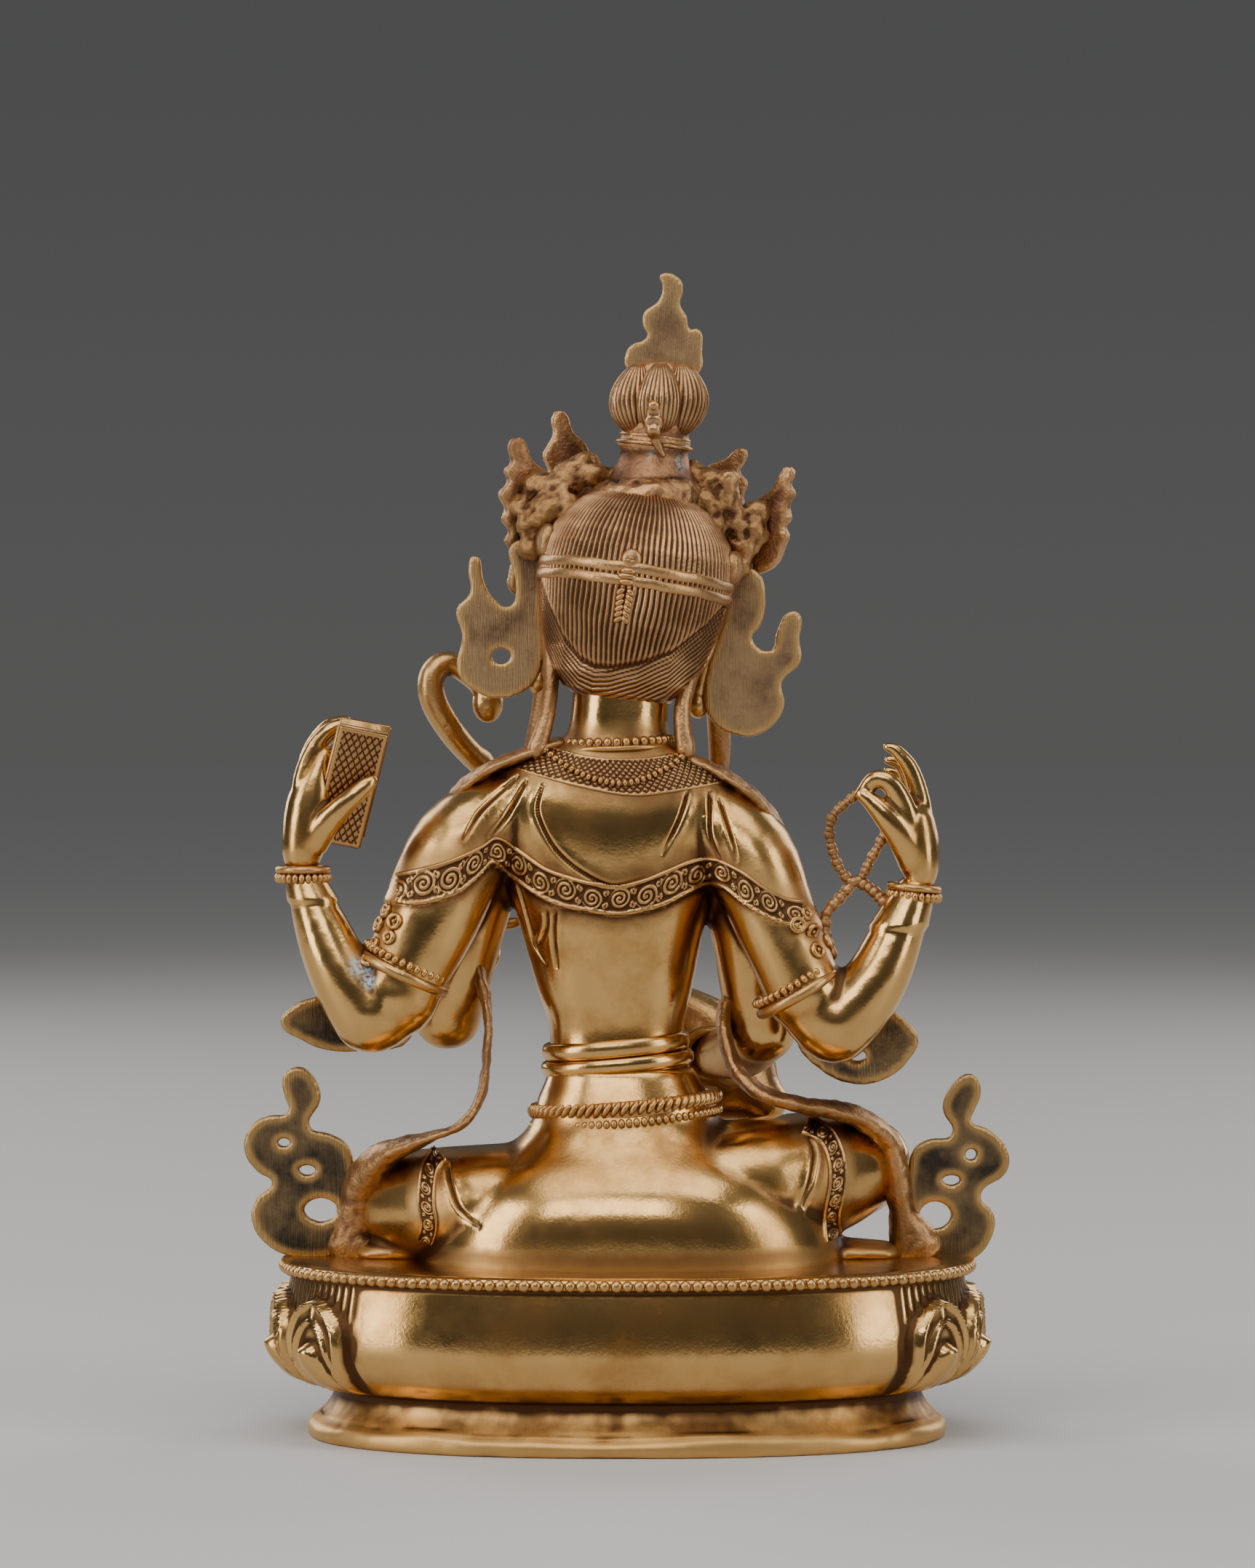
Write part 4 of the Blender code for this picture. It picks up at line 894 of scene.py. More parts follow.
def refined_near(mesh, near, reach, times):
    """Splits the faces near a set of points, so that a line can be cut crisply."""
    form = bmesh.new()
    form.from_mesh(mesh)
    for _ in range(times):
        close = {v for v in form.verts if near.find(v.co)[2] < reach}
        edges = [edge for edge in form.edges if edge.verts[0] in close and edge.verts[1] in close]
        bmesh.ops.subdivide_edges(form, edges=edges, cuts=1, use_grid_fill=True)
    form.to_mesh(mesh)
    form.free()


def carve_lines(mesh, lines, width, depth, side=BACK, times=2):
    """Cuts crisp grooves with a soft lip into one side of the mesh along lines of x, z points."""
    samples = fold_samples(tree_of(mesh), lines, side)
    near = KDTree(len(samples))
    for i, (sample, _) in enumerate(samples):
        near.insert(sample, i)
    near.balance()
    refined_near(mesh, near, 2.4 * width, times)
    moved = []
    for vertex in mesh.vertices:
        _, index, distance = near.find(vertex.co)
        if distance < 3 * width:
            share = samples[index][1]
            groove = ridge(distance, width) * depth
            lip = ridge(distance - 1.6 * width, 1.4 * width) * 0.22 * depth
            moved.append((vertex, vertex.normal * (lip - groove) * share))
    for vertex, shift in moved:
        vertex.co += shift
    mesh.update()


def store(mesh, name, amounts):
    """Stores a value for each vertex, under a name that the metals read."""
    layer = mesh.attributes.new(name, "FLOAT", "POINT")
    layer.data.foreach_set("value", amounts)


def paint_recess(mesh, rounds):
    """Stores how deep each vertex lies in a small hollow (recess), which takes patina, and in a wide one,
    which takes patina and painted shade.
    """
    places = vertex_places(mesh)
    count = len(places)
    ends = np.empty(len(mesh.edges) * 2, dtype=np.int64)
    mesh.edges.foreach_get("vertices", ends)
    a, b = ends.reshape(-1, 2).T
    degree = np.maximum(1, np.bincount(a, minlength=count) + np.bincount(b, minlength=count))
    soft = places.copy()
    normals = vertex_normals(mesh)
    for name, repeats in (("recess", rounds), ("nook_patina_and_shade", 6 * rounds)):
        for _ in range(repeats):
            for k in range(3):
                total = np.bincount(a, soft[b, k], count) + np.bincount(b, soft[a, k], count)
                soft[:, k] = 0.4 * soft[:, k] + 0.6 * total / degree
        depth = ((soft - places) * normals).sum(axis=1)
        if name == "recess" and "carved" in mesh.attributes:
            carved = np.empty(count, dtype=np.float32)
            mesh.attributes["carved"].data.foreach_get("value", carved)
            depth += carved
        store(mesh, name, depth)


SEAM_TOP, SEAM_FADE = 38.0, 2.5
BORDER_WIDE = 3.4

# Spots of verdigris, as x, y, z and radius
ELBOW_SPOTS = [(50.2, 16, 89.5, 2.2), (48.6, 16, 86.5, 1.6), (-47, 16, 76, 1.6)]
BELL_SPOTS = [(4, 7, 184, 1.6), (-11, 6, 184.5, 2), (-4.5, 8, 186, 1.6)]


def darken_near_ornament_and_seam(mesh, others, reach, seam=None):
    """Stores painted shade where a surface lies close to laid ornament, and a darkening that grows towards
    the seam at its foot.
    """
    spots = np.concatenate([vertex_places(other)[::3] for other in others])
    near = KDTree(len(spots))
    for i, spot in enumerate(spots):
        near.insert(spot, i)
    near.balance()
    places = vertex_places(mesh)
    amount = np.array([max(0.0, 1.0 - near.find(place)[2] / reach) for place in places])
    if seam:
        amount = np.maximum(amount, np.clip((seam - places[:, 2]) / SEAM_FADE, 0.0, 1.0))
    store(mesh, "grime_and_shade", amount)


def stained(mesh, amount):
    """The mesh with an even share of grime all over it."""
    store(mesh, "grime_and_shade", np.full(len(mesh.vertices), amount))
    return mesh


def shade_and_tarnish_front_arms(mesh):
    """Adds painted shade and tarnish to the forward arms, off the middle, in front and below the shoulders.
    """
    middle, inner, top, front = 3.0, 15, 112, -0.5
    places = vertex_places(mesh)
    layer = mesh.attributes["grime_and_shade"]
    amount = np.zeros(len(places))
    layer.data.foreach_get("value", amount)
    for i, (x, y, z) in enumerate(places):
        aside = abs(x - middle)
        if aside > inner and z < top:
            share = eased((aside - inner) / 4) * eased((front - y) / 4) * eased((top - z) / 10)
            amount[i] = max(amount[i], 0.7 * share)
    layer.data.foreach_set("value", amount)


def paint_spots(mesh, spots):
    """Stores where verdigris lies, as the attribute verdigris. A spot is x, y, z, radius."""
    places = vertex_places(mesh)
    amount = np.zeros(len(places))
    for x, y, z, radius in spots:
        gap = np.linalg.norm(places - np.array((x, y, z)), axis=1)
        amount = np.maximum(amount, np.clip(1.35 - gap / radius, 0.0, 1.0))
    store(mesh, "verdigris", amount)


def roughened(mesh, amount, grain, below=None):
    """Gives the skin, or the part of it under a height, the small lumps and pits of a rough casting."""
    places = vertex_places(mesh)
    normals = vertex_normals(mesh)
    for i, place in enumerate(places):
        if below is None or place[2] < below:
            spot = Vector(place) / grain
            places[i] += normals[i] * amount * (noise.noise(spot * 0.45) + 0.6 * noise.noise(spot))
    set_places(mesh, places)
    return mesh


# Rounds of smoothing against which hollows are measured: few for small trim, more for large skins
TRIM, HAIR, RELIEF, SHELL, SKIN = 4, 5, 8, 10, 14


def add_piece(name, mesh, material, recess_rounds=SKIN, spots=(), base=False):
    """Links a drawn mesh as a piece of the statue and ties it to the frame."""
    paint_recess(mesh, recess_rounds)
    if spots:
        paint_spots(mesh, spots)
    mesh.transform(Matrix.Scale(MM, 4))
    mesh.name = name
    piece = bpy.data.objects.new(name, mesh)
    bpy.context.scene.collection.objects.link(piece)
    mesh.materials.clear()
    mesh.materials.append(material)
    mesh.shade_smooth()
    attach(piece, "root")
    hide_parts(BASE_NODE if base else FIGURE_NODE)
    return piece


# Laid ornament


def relief_patch(tree, upper, lower, relief, steps, across, side=BACK):
    """A closed strip of carved relief, laid on one side of a body between two lines of x, z points."""
    top_line = even_run(upper, steps)
    low_line = even_run(lower, steps)
    run = 0.0
    runs = []
    for i in range(steps + 1):
        if i:
            step = (
                Vector(top_line[i]) + Vector(low_line[i]) - Vector(
                    top_line[i - 1]
                ) - Vector(low_line[i - 1])
            ) / 2
            run += step.length
        runs.append(run)
    form = bmesh.new()
    hollows = form.verts.layers.float.new("carved")
    top_rows, low_rows = [], []
    for i in range(steps + 1):
        top, low = Vector(top_line[i]), Vector(low_line[i])
        wide = (top - low).length
        top_row, low_row = [], []
        for j in range(across + 1):
            share = j / across
            x, z = low.lerp(top, share)
            point, normal = side_point(tree, x, z, side)
            height = relief(runs[i], (share - 0.5) * wide, wide)
            top_row.append(form.verts.new(point + normal * height))
            top_row[-1][hollows] = 0.3 - 0.8 * height
            low_row.append(form.verts.new(point - normal * 0.6))
        top_rows.append(top_row)
        low_rows.append(low_row)
    for rows in (top_rows, low_rows):
        for first, second in zip(rows, rows[1:]):
            for j in range(across):
                form.faces.new((first[j], first[j + 1], second[j + 1], second[j]))
    for top_row, low_row in ((top_rows[0], low_rows[0]), (top_rows[-1], low_rows[-1])):
        for j in range(across):
            form.faces.new((top_row[j], top_row[j + 1], low_row[j + 1], low_row[j]))
    for j in (0, across):
        for i in range(steps):
            form.faces.new((top_rows[i][j], top_rows[i + 1][j], low_rows[i + 1][j], low_rows[i][j]))
    return mesh_of(form)


def even_run(line, steps):
    """Evenly spaced points along a smooth line."""
    dense = [Vector(point) for point in blend_knots(line, 24)]
    lengths = [0.0]
    for a, b in zip(dense, dense[1:]):
        lengths.append(lengths[-1] + (b - a).length)
    found = []
    at = 0
    for i in range(steps + 1):
        goal = lengths[-1] * i / steps
        while at < len(lengths) - 2 and lengths[at + 1] < goal:
            at += 1
        span = lengths[at + 1] - lengths[at]
        share = (goal - lengths[at]) / span if span else 0.0
        found.append(tuple(dense[at].lerp(dense[at + 1], min(1.0, share))))
    return found


def spiral(x, z, radius, pitch, hand=1):
    """Height of a spiral scroll at x, z from its centre, from 0 to 1."""
    distance = math.hypot(x, z)
    if distance > radius:
        return 0.0
    coil = distance / pitch - hand * math.atan2(z, x) / math.tau
    edge = min(1.0, (radius - distance) / 0.3)
    return edge * (0.5 + 0.5 * math.cos(math.tau * coil)) ** 0.7


def rosette_relief(pitch):
    """The scroll border: a row of spirals with small scrolls between, inside two ridges."""

    def relief(run, across, wide):
        edge = wide / 2 - abs(across)
        rim = 0.14 * wide
        if edge < rim:
            return 0.3 + 0.45 * math.sin(math.pi * max(0.0, edge) / rim)
        cell = round(run / pitch)
        x = run - cell * pitch
        room = wide / 2 - rim
        hand = 1 if cell % 2 else -1
        lean = 0.12 * room * hand
        height = spiral(x, across - lean, min(0.5 * pitch, 1.02 * room), 0.42 * room, hand)
        gap = abs(x) - pitch / 2
        for centre in (-0.58 * room, 0.58 * room):
            height = max(height, 0.85 * spiral(gap, across - centre, 0.42 * room, 0.36 * room, -hand))
        return 0.08 + 0.62 * height

    return relief


def lattice_relief(run, across, wide):
    """Diamond cross-hatching with a plain border."""
    if wide / 2 - abs(across) < 0.45:
        return 0.35
    pitch = 1.25
    first = abs(((run + across) / pitch) % 1.0 - 0.5) * 2
    second = abs(((run - across) / pitch) % 1.0 - 0.5) * 2
    return 0.32 * min(1.0, 2.2 * min(1 - first, 1 - second))


def bead_row(form, spots, radii):
    """Beads at points along a string, each turned along it. Radii are along, across and out."""
    spots = [Vector(spot) for spot in spots]
    for i, spot in enumerate(spots):
        along = (spots[min(i + 1, len(spots) - 1)] - spots[max(i - 1, 0)]).normalized()
        turn = along.to_track_quat("X", "Z").to_matrix().to_4x4()
        ball(form, spot, radii, turn, 10)


# Metal finishes


def add_node(tree, kind, settings=None, inputs=None):
    """A shader node with its settings and its inputs, which may be values or other nodes' outputs."""
    made = tree.nodes.new(kind)
    for key, value in (settings or {}).items():
        setattr(made, key, value)
    for key, value in (inputs or {}).items():
        if isinstance(value, bpy.types.NodeSocket):
            tree.links.new(value, made.inputs[key])
        else:
            made.inputs[key].default_value = value
    return made


def mix_colours(tree, share, first, second):
    """One colour laid over another by a share."""
    return add_node(tree, "ShaderNodeMix", {"data_type": "RGBA"}, {0: share, 6: first, 7: second}).outputs[2]


def map_value(tree, value, low, high, to_low=0.0, to_high=1.0):
    """A value between two limits, stretched to two others."""
    limits = {"From Min": low, "From Max": high, "To Min": to_low, "To Max": to_high}
    return add_node(tree, "ShaderNodeMapRange", {}, {"Value": value, **limits}).outputs["Result"]


def combine(tree, how, first, second):
    """Two values put together by one step of arithmetic."""
    return add_node(tree, "ShaderNodeMath", {"operation": how}, {0: first, 1: second}).outputs[0]


def stored(tree, name):
    """A value that the mesh stores for each vertex."""
    return add_node(tree, "ShaderNodeAttribute", {"attribute_name": name}).outputs["Fac"]


BLOTCHES = (0.42, 0.62)
# Brown of tarnish and of painted shade
TARNISH_AND_SHADE_BROWN = (0.2, 0.095, 0.04, 1)
DULLED_ROUGHNESS = 0.5


def metal(name, bright, dull, smooth, rough, grain, streak=None, shade_and_tarnish_strength=0.6, rub=0.75):
    """Cast metal: bright where rubbed, dull in blotches, brown with patina in its hollows, brown with tarnish
    and painted shade in wide hollows and near laid ornament, with spots of verdigris.
    """
    if name in bpy.data.materials:
        return bpy.data.materials[name]
    material = bpy.data.materials.new(name)
    material.use_nodes = True
    tree = material.node_tree
    shader = tree.nodes["Principled BSDF"]
    place = add_node(tree, "ShaderNodeTexCoord").outputs["Object"]
    wide_noise = {"Vector": place, "Scale": 75.0, "Detail": 6.0, "Roughness": 0.65}
    cloud = add_node(tree, "ShaderNodeTexNoise", {}, wide_noise).outputs["Fac"]
    fine = add_node(
        tree, "ShaderNodeTexNoise", {}, {"Vector": place, "Scale": 1500.0, "Detail": 3.0}
    ).outputs["Fac"]
    # Blotches, then the tarnish brown, which is partly patina, tarnish and stain and partly painted shade, in
    # wide hollows, near laid ornament, towards the robe's foot and on the forward arms
    recess = stored(tree, "recess")
    colour = mix_colours(tree, map_value(tree, cloud, *BLOTCHES), bright, dull)
    uneven = combine(tree, "ADD", stored(tree, "nook_patina_and_shade"), map_value(tree, cloud, 0.3, 0.7, -0.35, 0.35))
    patchy = combine(tree, "MULTIPLY", stored(tree, "grime_and_shade"), map_value(tree, cloud, 0.3, 0.6, 0.5, 1.3))
    shade_and_tarnish_mask = combine(tree, "MAXIMUM", map_value(tree, uneven, 0.05, 0.7), map_value(tree, patchy, 0.1, 0.9))
    shade_and_tarnish_share = combine(tree, "MULTIPLY", shade_and_tarnish_mask, shade_and_tarnish_strength)
    # Lays the brown of tarnish and painted shade over the colour
    colour = mix_colours(tree, shade_and_tarnish_share, colour, TARNISH_AND_SHADE_BROWN)
    # Bright edges, dark grooves and spots of verdigris
    rubbed = combine(tree, "MULTIPLY", map_value(tree, recess, -0.02, -0.12), rub)
    colour = mix_colours(tree, rubbed, colour, tuple(colours().brass))
    hollow = map_value(tree, recess, 0.012, 0.12)
    colour = mix_colours(tree, combine(tree, "MULTIPLY", hollow, 0.93), colour, tuple(colours().patina))
    crust = combine(tree, "MULTIPLY", stored(tree, "verdigris"), map_value(tree, fine, 0.38, 0.56))
    colour = mix_colours(tree, crust, colour, tuple(colours().verdigris))
    tree.links.new(colour, shader.inputs["Base Color"])
    tree.links.new(combine(tree, "SUBTRACT", 1.0, crust), shader.inputs["Metallic"])
    # Gloss, which patina, the brown of tarnish and painted shade, and a matte finish take away
    polish = map_value(tree, cloud, 0.35, 0.7, smooth, rough)
    veiled = combine(tree, "MAXIMUM", hollow, shade_and_tarnish_share)
    veiled = combine(tree, "MAXIMUM", veiled, combine(tree, "MULTIPLY", stored(tree, "matte"), 0.8))
    shares = {0: veiled, 2: polish, 3: DULLED_ROUGHNESS}
    dulled = add_node(tree, "ShaderNodeMix", {"data_type": "FLOAT"}, shares).outputs[0]
    tree.links.new(dulled, shader.inputs["Roughness"])
    # Soft hammered waves under a fine grain, with file marks on some
    height = fine
    if streak:
        turn, scale = streak
        stretched = add_node(
            tree, "ShaderNodeMapping", {}, {"Vector": place, "Rotation": turn, "Scale": scale}
        )
        marks = {"Vector": stretched.outputs["Vector"], "Scale": 1.0, "Detail": 2.0}
        lines = add_node(tree, "ShaderNodeTexNoise", {}, marks).outputs["Fac"]
        height = combine(tree, "ADD", height, combine(tree, "MULTIPLY", lines, 2.0))
    waves = {"Strength": 0.16, "Distance": 0.0006, "Height": cloud}
    hammered = add_node(tree, "ShaderNodeBump", {}, waves).outputs["Normal"]
    grains = {"Strength": grain, "Distance": 0.0003, "Height": height, "Normal": hammered}
    bump = add_node(tree, "ShaderNodeBump", {}, grains)
    tree.links.new(bump.outputs["Normal"], shader.inputs["Normal"])
    return material


def darker(colour, shares):
    """A colour with each of its three parts cut to a share."""
    return (*(part * share for part, share in zip(colour, shares)), 1.0)


def polished_brass():
    """Hand-rubbed brass of the skin and the base."""
    brass = tuple(colours().brass)
    warm = darker(brass, (0.66, 0.56, 0.46))
    return metal("polished_brass", brass, warm, 0.14, 0.3, grain=0.06, shade_and_tarnish_strength=0.85)


def satin_brass():
    """The softer brass of the face."""
    brass = tuple(colours().brass)
    warm = darker(brass, (0.7, 0.6, 0.5))
    return metal("satin_brass", brass, warm, 0.3, 0.4, grain=0.08)


def brown_brass():
    """Browned brass of carved ornament."""
    copper = tuple(colours().copper)
    return metal("brown_brass", (0.42, 0.235, 0.095, 1), copper, 0.26, 0.42, grain=0.25, rub=0.6)


def copper_cast():
    """Rough, reddish metal as it was cast."""
    bright, dull = (0.47, 0.25, 0.125, 1), (0.15, 0.065, 0.036, 1)
    return metal("copper_cast", bright, dull, 0.36, 0.58, grain=0.6, rub=0.3, shade_and_tarnish_strength=0.8)


def filed_plate():
    """Dark plate with file marks."""
    bright, dull = (0.23, 0.155, 0.08, 1), (0.055, 0.045, 0.034, 1)
    streaks = ((0, 0.6, 0), (3600, 900, 260))
    return metal("filed_plate", bright, dull, 0.33, 0.5, grain=0.3, streak=streaks, rub=0.6)


def filed_brass():
    """Paler plate with file marks."""
    bright, dull = (0.52, 0.33, 0.165, 1), (0.19, 0.115, 0.066, 1)
    streaks = ((0, 0.9, 0), (4200, 900, 300))
    return metal("filed_brass", bright, dull, 0.33, 0.52, grain=0.3, streak=streaks, rub=0.6)


def bronze_hair():
    """Brown bronze of the combed hair."""
    bright, dull = (0.48, 0.265, 0.13, 1), (0.20, 0.095, 0.048, 1)
    return metal("bronze_hair", bright, dull, 0.3, 0.46, grain=0.3, rub=0.35, shade_and_tarnish_strength=0.75)


# Lotus base


BASE_POWER = 2.35
LOTUS_WIDE, LOTUS_DEEP = 65.0, 41.5
PANEL_HALF = 51.0
PETALS = 14
PETAL_COLUMNS = 36
PANEL_COLUMNS = 70
PETAL_RELIEF = 3.9
STEM_TOP = 9.6


def oval_point(turn, wide, deep):
    """A point of the base's rounded oval."""
    c, s = math.cos(turn), math.sin(turn)
    along = math.copysign(abs(c) ** (2 / BASE_POWER), c)
    across = math.copysign(abs(s) ** (2 / BASE_POWER), s)
    return Vector((wide * along, deep * across, 0.0))


def even_turns(start, end, count, wide, deep):
    """Turns that divide a stretch of the oval into equal lengths."""
    fine = 3000
    turns = [start + (end - start) * i / fine for i in range(fine + 1)]
    spots = [oval_point(turn, wide, deep) for turn in turns]
    run = [0.0]
    for a, b in zip(spots, spots[1:]):
        run.append(run[-1] + (b - a).length)
    found, at = [], 0
    for i in range(count):
        while run[at] < run[-1] * i / count:
            at += 1
        found.append(turns[at])
    return found


def base_columns():
    """The turn of each column round the base, and its place across its petal (-1 to 1) or None."""
    edge = math.pi / 2
    while oval_point(edge, LOTUS_WIDE, LOTUS_DEEP).x < PANEL_HALF:
        edge -= 0.002
    panel = even_turns(edge, math.pi - edge, PANEL_COLUMNS, LOTUS_WIDE, LOTUS_DEEP)
    columns = [(turn, None) for turn in panel]
    petals = even_turns(math.pi - edge, math.tau + edge, PETALS * PETAL_COLUMNS, LOTUS_WIDE, LOTUS_DEEP)
    for i, turn in enumerate(petals):
        columns.append((turn, 2 * (i % PETAL_COLUMNS) / PETAL_COLUMNS - 1))
    return columns


def ridge(gap, width):
    """A rounded ridge, 1 on its line and 0 beyond its width."""
    return 0.5 + 0.5 * math.cos(math.pi * min(1.0, abs(gap) / width))


def petal_height(across, rise):
    """Height of the petal carving across a petal (-1 to 1) and up it (0 to 1), from 0 to 1."""
    if across is None or not 0 < rise < 1:
        return 0.0
    side = abs(across)
    # The petal's outline, its height and its raised lip
    outer = 0.58 + 0.38 * math.sin(math.pi * min(rise, 0.5))
    outer *= max(0.0, 1 - (max(0.0, rise - 0.5) / 0.48) ** 2.2) ** 0.6
    height = (0.42 + 0.2 * rise) * eased((outer - side) / 0.2)
    height += 0.3 * ridge(side - outer + 0.16, 0.17) * eased(rise / 0.06)
    # The inner petal's lip, and the boss that swells inside it
    inner = 0.66 * max(0.0, 1 - (rise / 0.78) ** 3) ** 0.6
    height += 0.26 * ridge(side - inner + 0.06, 0.13) * eased((outer - side) / 0.1)
    boss = 0.42 * max(0.0, 1 - (rise / 0.56) ** 2.6) ** 0.5
    if side < boss:
        height += 0.6 * (1 - (side / boss) ** 2) ** 0.5 * eased(rise / 0.12) * eased((0.58 - rise) / 0.12)
    return height


def base_profile():
    """Rows of the base from the foot up: height, half width, half depth, petal rise, stamen share."""
    top = BASE_TOP
    foot_wide, foot_deep = 60.3, 37.2
    stem_wide, stem_deep = 55.8, 33.0
    lotus_wide, lotus_deep = LOTUS_WIDE, LOTUS_DEEP
    neck_wide, neck_deep = 63.6, 39.7
    rows = []
    for z, out in ((0, -0.5), (0.25, 0), (0.8, 0.25), (1.6, 0.3), (2.4, 0.2), (3, -0.15), (3.4, -0.7)):
        rows.append((z, foot_wide + out, foot_deep + out, 0.0, 0.0))
    for i in range(15):
        share = i / 14
        flare = 3.4 * (1 - share) ** 2.2 + 0.5 * max(0.0, share - 0.8) / 0.2
        rows.append((3.6 + 6.0 * share, stem_wide + flare, stem_deep + flare, 0.0, 0.0))
    start, end = 9.7, top - 2.6
    bulge = start + 0.44 * (end - start)
    steps = 42
    for i in range(steps + 1):
        rise = i / steps
        z = start + (end - start) * rise
        if z < bulge:
            swell = math.sin(math.pi / 2 * (z - start) / (bulge - start)) ** 0.8
            wide = stem_wide + 1.4 + (lotus_wide - stem_wide - 1.4) * swell
            deep = stem_deep + 1.4 + (lotus_deep - stem_deep - 1.4) * swell
        else:
            share = (z - bulge) / (end - bulge)
            wide = lotus_wide - (lotus_wide - neck_wide) * share**1.6
            deep = lotus_deep - (lotus_deep - neck_deep) * share**1.6
        rows.append((z, wide, deep, rise * 1.14, max(0.0, (rise - 0.6) / 0.4)))
    for z, out in ((top - 2.3, 0.2), (top - 2.0, 1.4), (top - 1.5, 1.8), (top - 0.5, 1.8), (top - 0.05, 1.3)):
        rows.append((z, neck_wide + out, neck_deep + out, 0.0, 0.0))
    for inset in (4, 12, 24):
        rows.append((top, neck_wide + 1.9 - inset, neck_deep + 1.9 - inset, 0.0, 0.0))
    return rows


def build_base():
    """The oval lotus base with its petals, plain back panel and foot."""
    columns = base_columns()
    form = bmesh.new()
    rings, hollows = [], []
    for z, wide, deep, rise, stamens in base_profile():
        ring = []
        for k, (turn, across) in enumerate(columns):
            height = petal_height(across, rise)
            lift = PETAL_RELIEF * height
            hollow = 0.0
            if across is not None and rise:
                hollow = 0.12 - 0.3 * height if height < 0.4 else 0.1 - 0.22 * height
            if stamens and across is not None and height < 0.3:
                comb = 0.5 + 0.5 * math.cos(math.tau * k / 4)
                lift += 0.3 * comb * min(1.0, stamens * 3)
                hollow = 0.13 - 0.16 * comb
            if z < 4.0:
                lift += 0.22 * math.sin(5 * turn + 0.6) * math.sin(math.pi * min(1.0, z / 3.4))
            point = oval_point(turn, wide + lift, deep + lift)
            sag = 0.3 * math.sin(7 * turn + 1.1) + 0.2 * math.sin(15 * turn)
            point.z = z + (sag * 0.7 if 2.0 < z < 4.4 else 0.0)
            ring.append(point)
            hollows.append(hollow)
        rings.append(ring)
    skin_rings(form, rings)
    mesh = mesh_of(form)
    store(mesh, "carved", hollows)
    store(mesh, "matte", [eased((STEM_TOP - vertex.co.z) / 0.8) for vertex in mesh.vertices])
    return roughened(mesh, amount=0.16, grain=2.6, below=STEM_TOP)


def build_rim_beads():
    """The string of beads round the top of the base."""
    form = bmesh.new()
    wide, deep = 65.3, 41.4
    count = sizes().rim_beads
    z = BASE_TOP - 1.2
    for i, turn in enumerate(even_turns(0.0, math.tau, count, wide, deep)):
        spot = oval_point(turn, wide, deep)
        ahead = oval_point(turn + 0.01, wide, deep) - spot
        spot.z = z
        face = Matrix.Rotation(math.atan2(ahead.y, ahead.x), 4, "Z")
        size = 1.0 + 0.05 * math.sin(i * 2.4)
        ball(form, spot, (1.14 * size, 0.95, 1.08 * size), face @ Matrix.Rotation(0.2, 4, "Y"), 10)
    return mesh_of(form)


# Body and dress


def raise_shawl(mesh, edge, lift):
    """Lifts the back's surface above an edge of x, z points, as cloth laid over the body."""
    softness = 0.5
    xs = np.array([x for x, _ in sorted(edge)])
    zs = np.array([z for _, z in sorted(edge)])
    places = vertex_places(mesh)
    normals = vertex_normals(mesh)
    limit = np.interp(places[:, 0], xs, zs)
    share = np.clip((places[:, 2] - limit) / softness + 0.5, 0.0, 1.0)
    share *= np.clip(places[:, 1] / 3.0 + 0.5, 0.0, 1.0)
    share *= share * (3 - 2 * share)
    set_places(mesh, places + normals * (lift * share)[:, None])


BACK_FOLDS = [
    [(16, 123.4), (17, 119), (15.2, 114), (12.2, 110), (7.7, 106.7), (2.7, 104.7), (-2.8, 106.1)],
    [(-11.4, 122), (-9.6, 116.7), (-6.7, 110.6)],
    [(-15.6, 122), (-15.4, 114.4), (-17.3, 109.6)],
    [(-17.4, 120.6), (-19.5, 113.4), (-20.4, 109.4)],
    [(19.2, 124.2), (22.8, 117.4), (25.6, 113.8)],
    [(20.8, 125), (27.6, 118.6), (30.6, 113.4)],
    [(20.8, 104.6), (20, 102), (19, 98.2), (17.6, 93.2), (15.4, 89.8)],
    [(13.6, 99.4), (13.9, 95.4), (13.3, 89.2)],
    [(15.2, 99.4), (15.3, 96.5), (16.7, 93.7)],
]
LEG_FOLDS = [
    [(34, 52.4), (33.4, 49), (31.5, 44.3), (27.7, 41.2)],
    [(-34.3, 57), (-35.2, 54.1), (-34.3, 49.2), (-32.6, 44.7)],
]
CHEST_FOLDS = [
    [(-4, 112), (-1, 106.5), (3, 104.6), (7, 106.5), (10, 112)],
    [(-7, 96), (-3.6, 93.4), (3, 92.4), (9.6, 93.4), (13, 96)],
    [(-11, 113), (-12.4, 108), (-12, 103)],
    [(17, 113), (18.4, 108), (18, 103)],
]
SHIN_FOLDS = [
    [(-46, 46), (-38, 49), (-28, 48.6), (-20, 46)],
    [(-42, 42), (-33, 44.6), (-24, 44.4), (-16, 42.6)],
    [(-30, 53.6), (-20, 52), (-12, 48.8)],
    [(46, 39.4), (38, 42.6), (28, 42.8), (18, 40.6)],
    [(42, 36.8), (33, 38.8), (24, 38.8), (15, 37.4)],
    [(30, 48.6), (22, 48), (13, 45.4)],
    [(-10, 56), (-5, 52), (-2, 47.6)],
    [(9, 56), (5, 52), (2.6, 47.6)],
]
FRONT_HEM_UPPER = [
    (-12.6, 102.6), (-8, 100), (-2, 98.4), (3, 98), (8, 98.4), (14, 100), (19.4, 102.8)
]
FRONT_HEM_LOWER = [
    (-12.6, 98.6), (-8, 95.8), (-2, 94), (3, 93.6), (8, 94), (14, 95.8), (19.4, 98.6)
]
FRONT_COLLAR_UPPER = [(-8.4, 127.2), (-4.6, 124), (2, 122.4), (8.6, 124.2), (12.6, 127.8)]
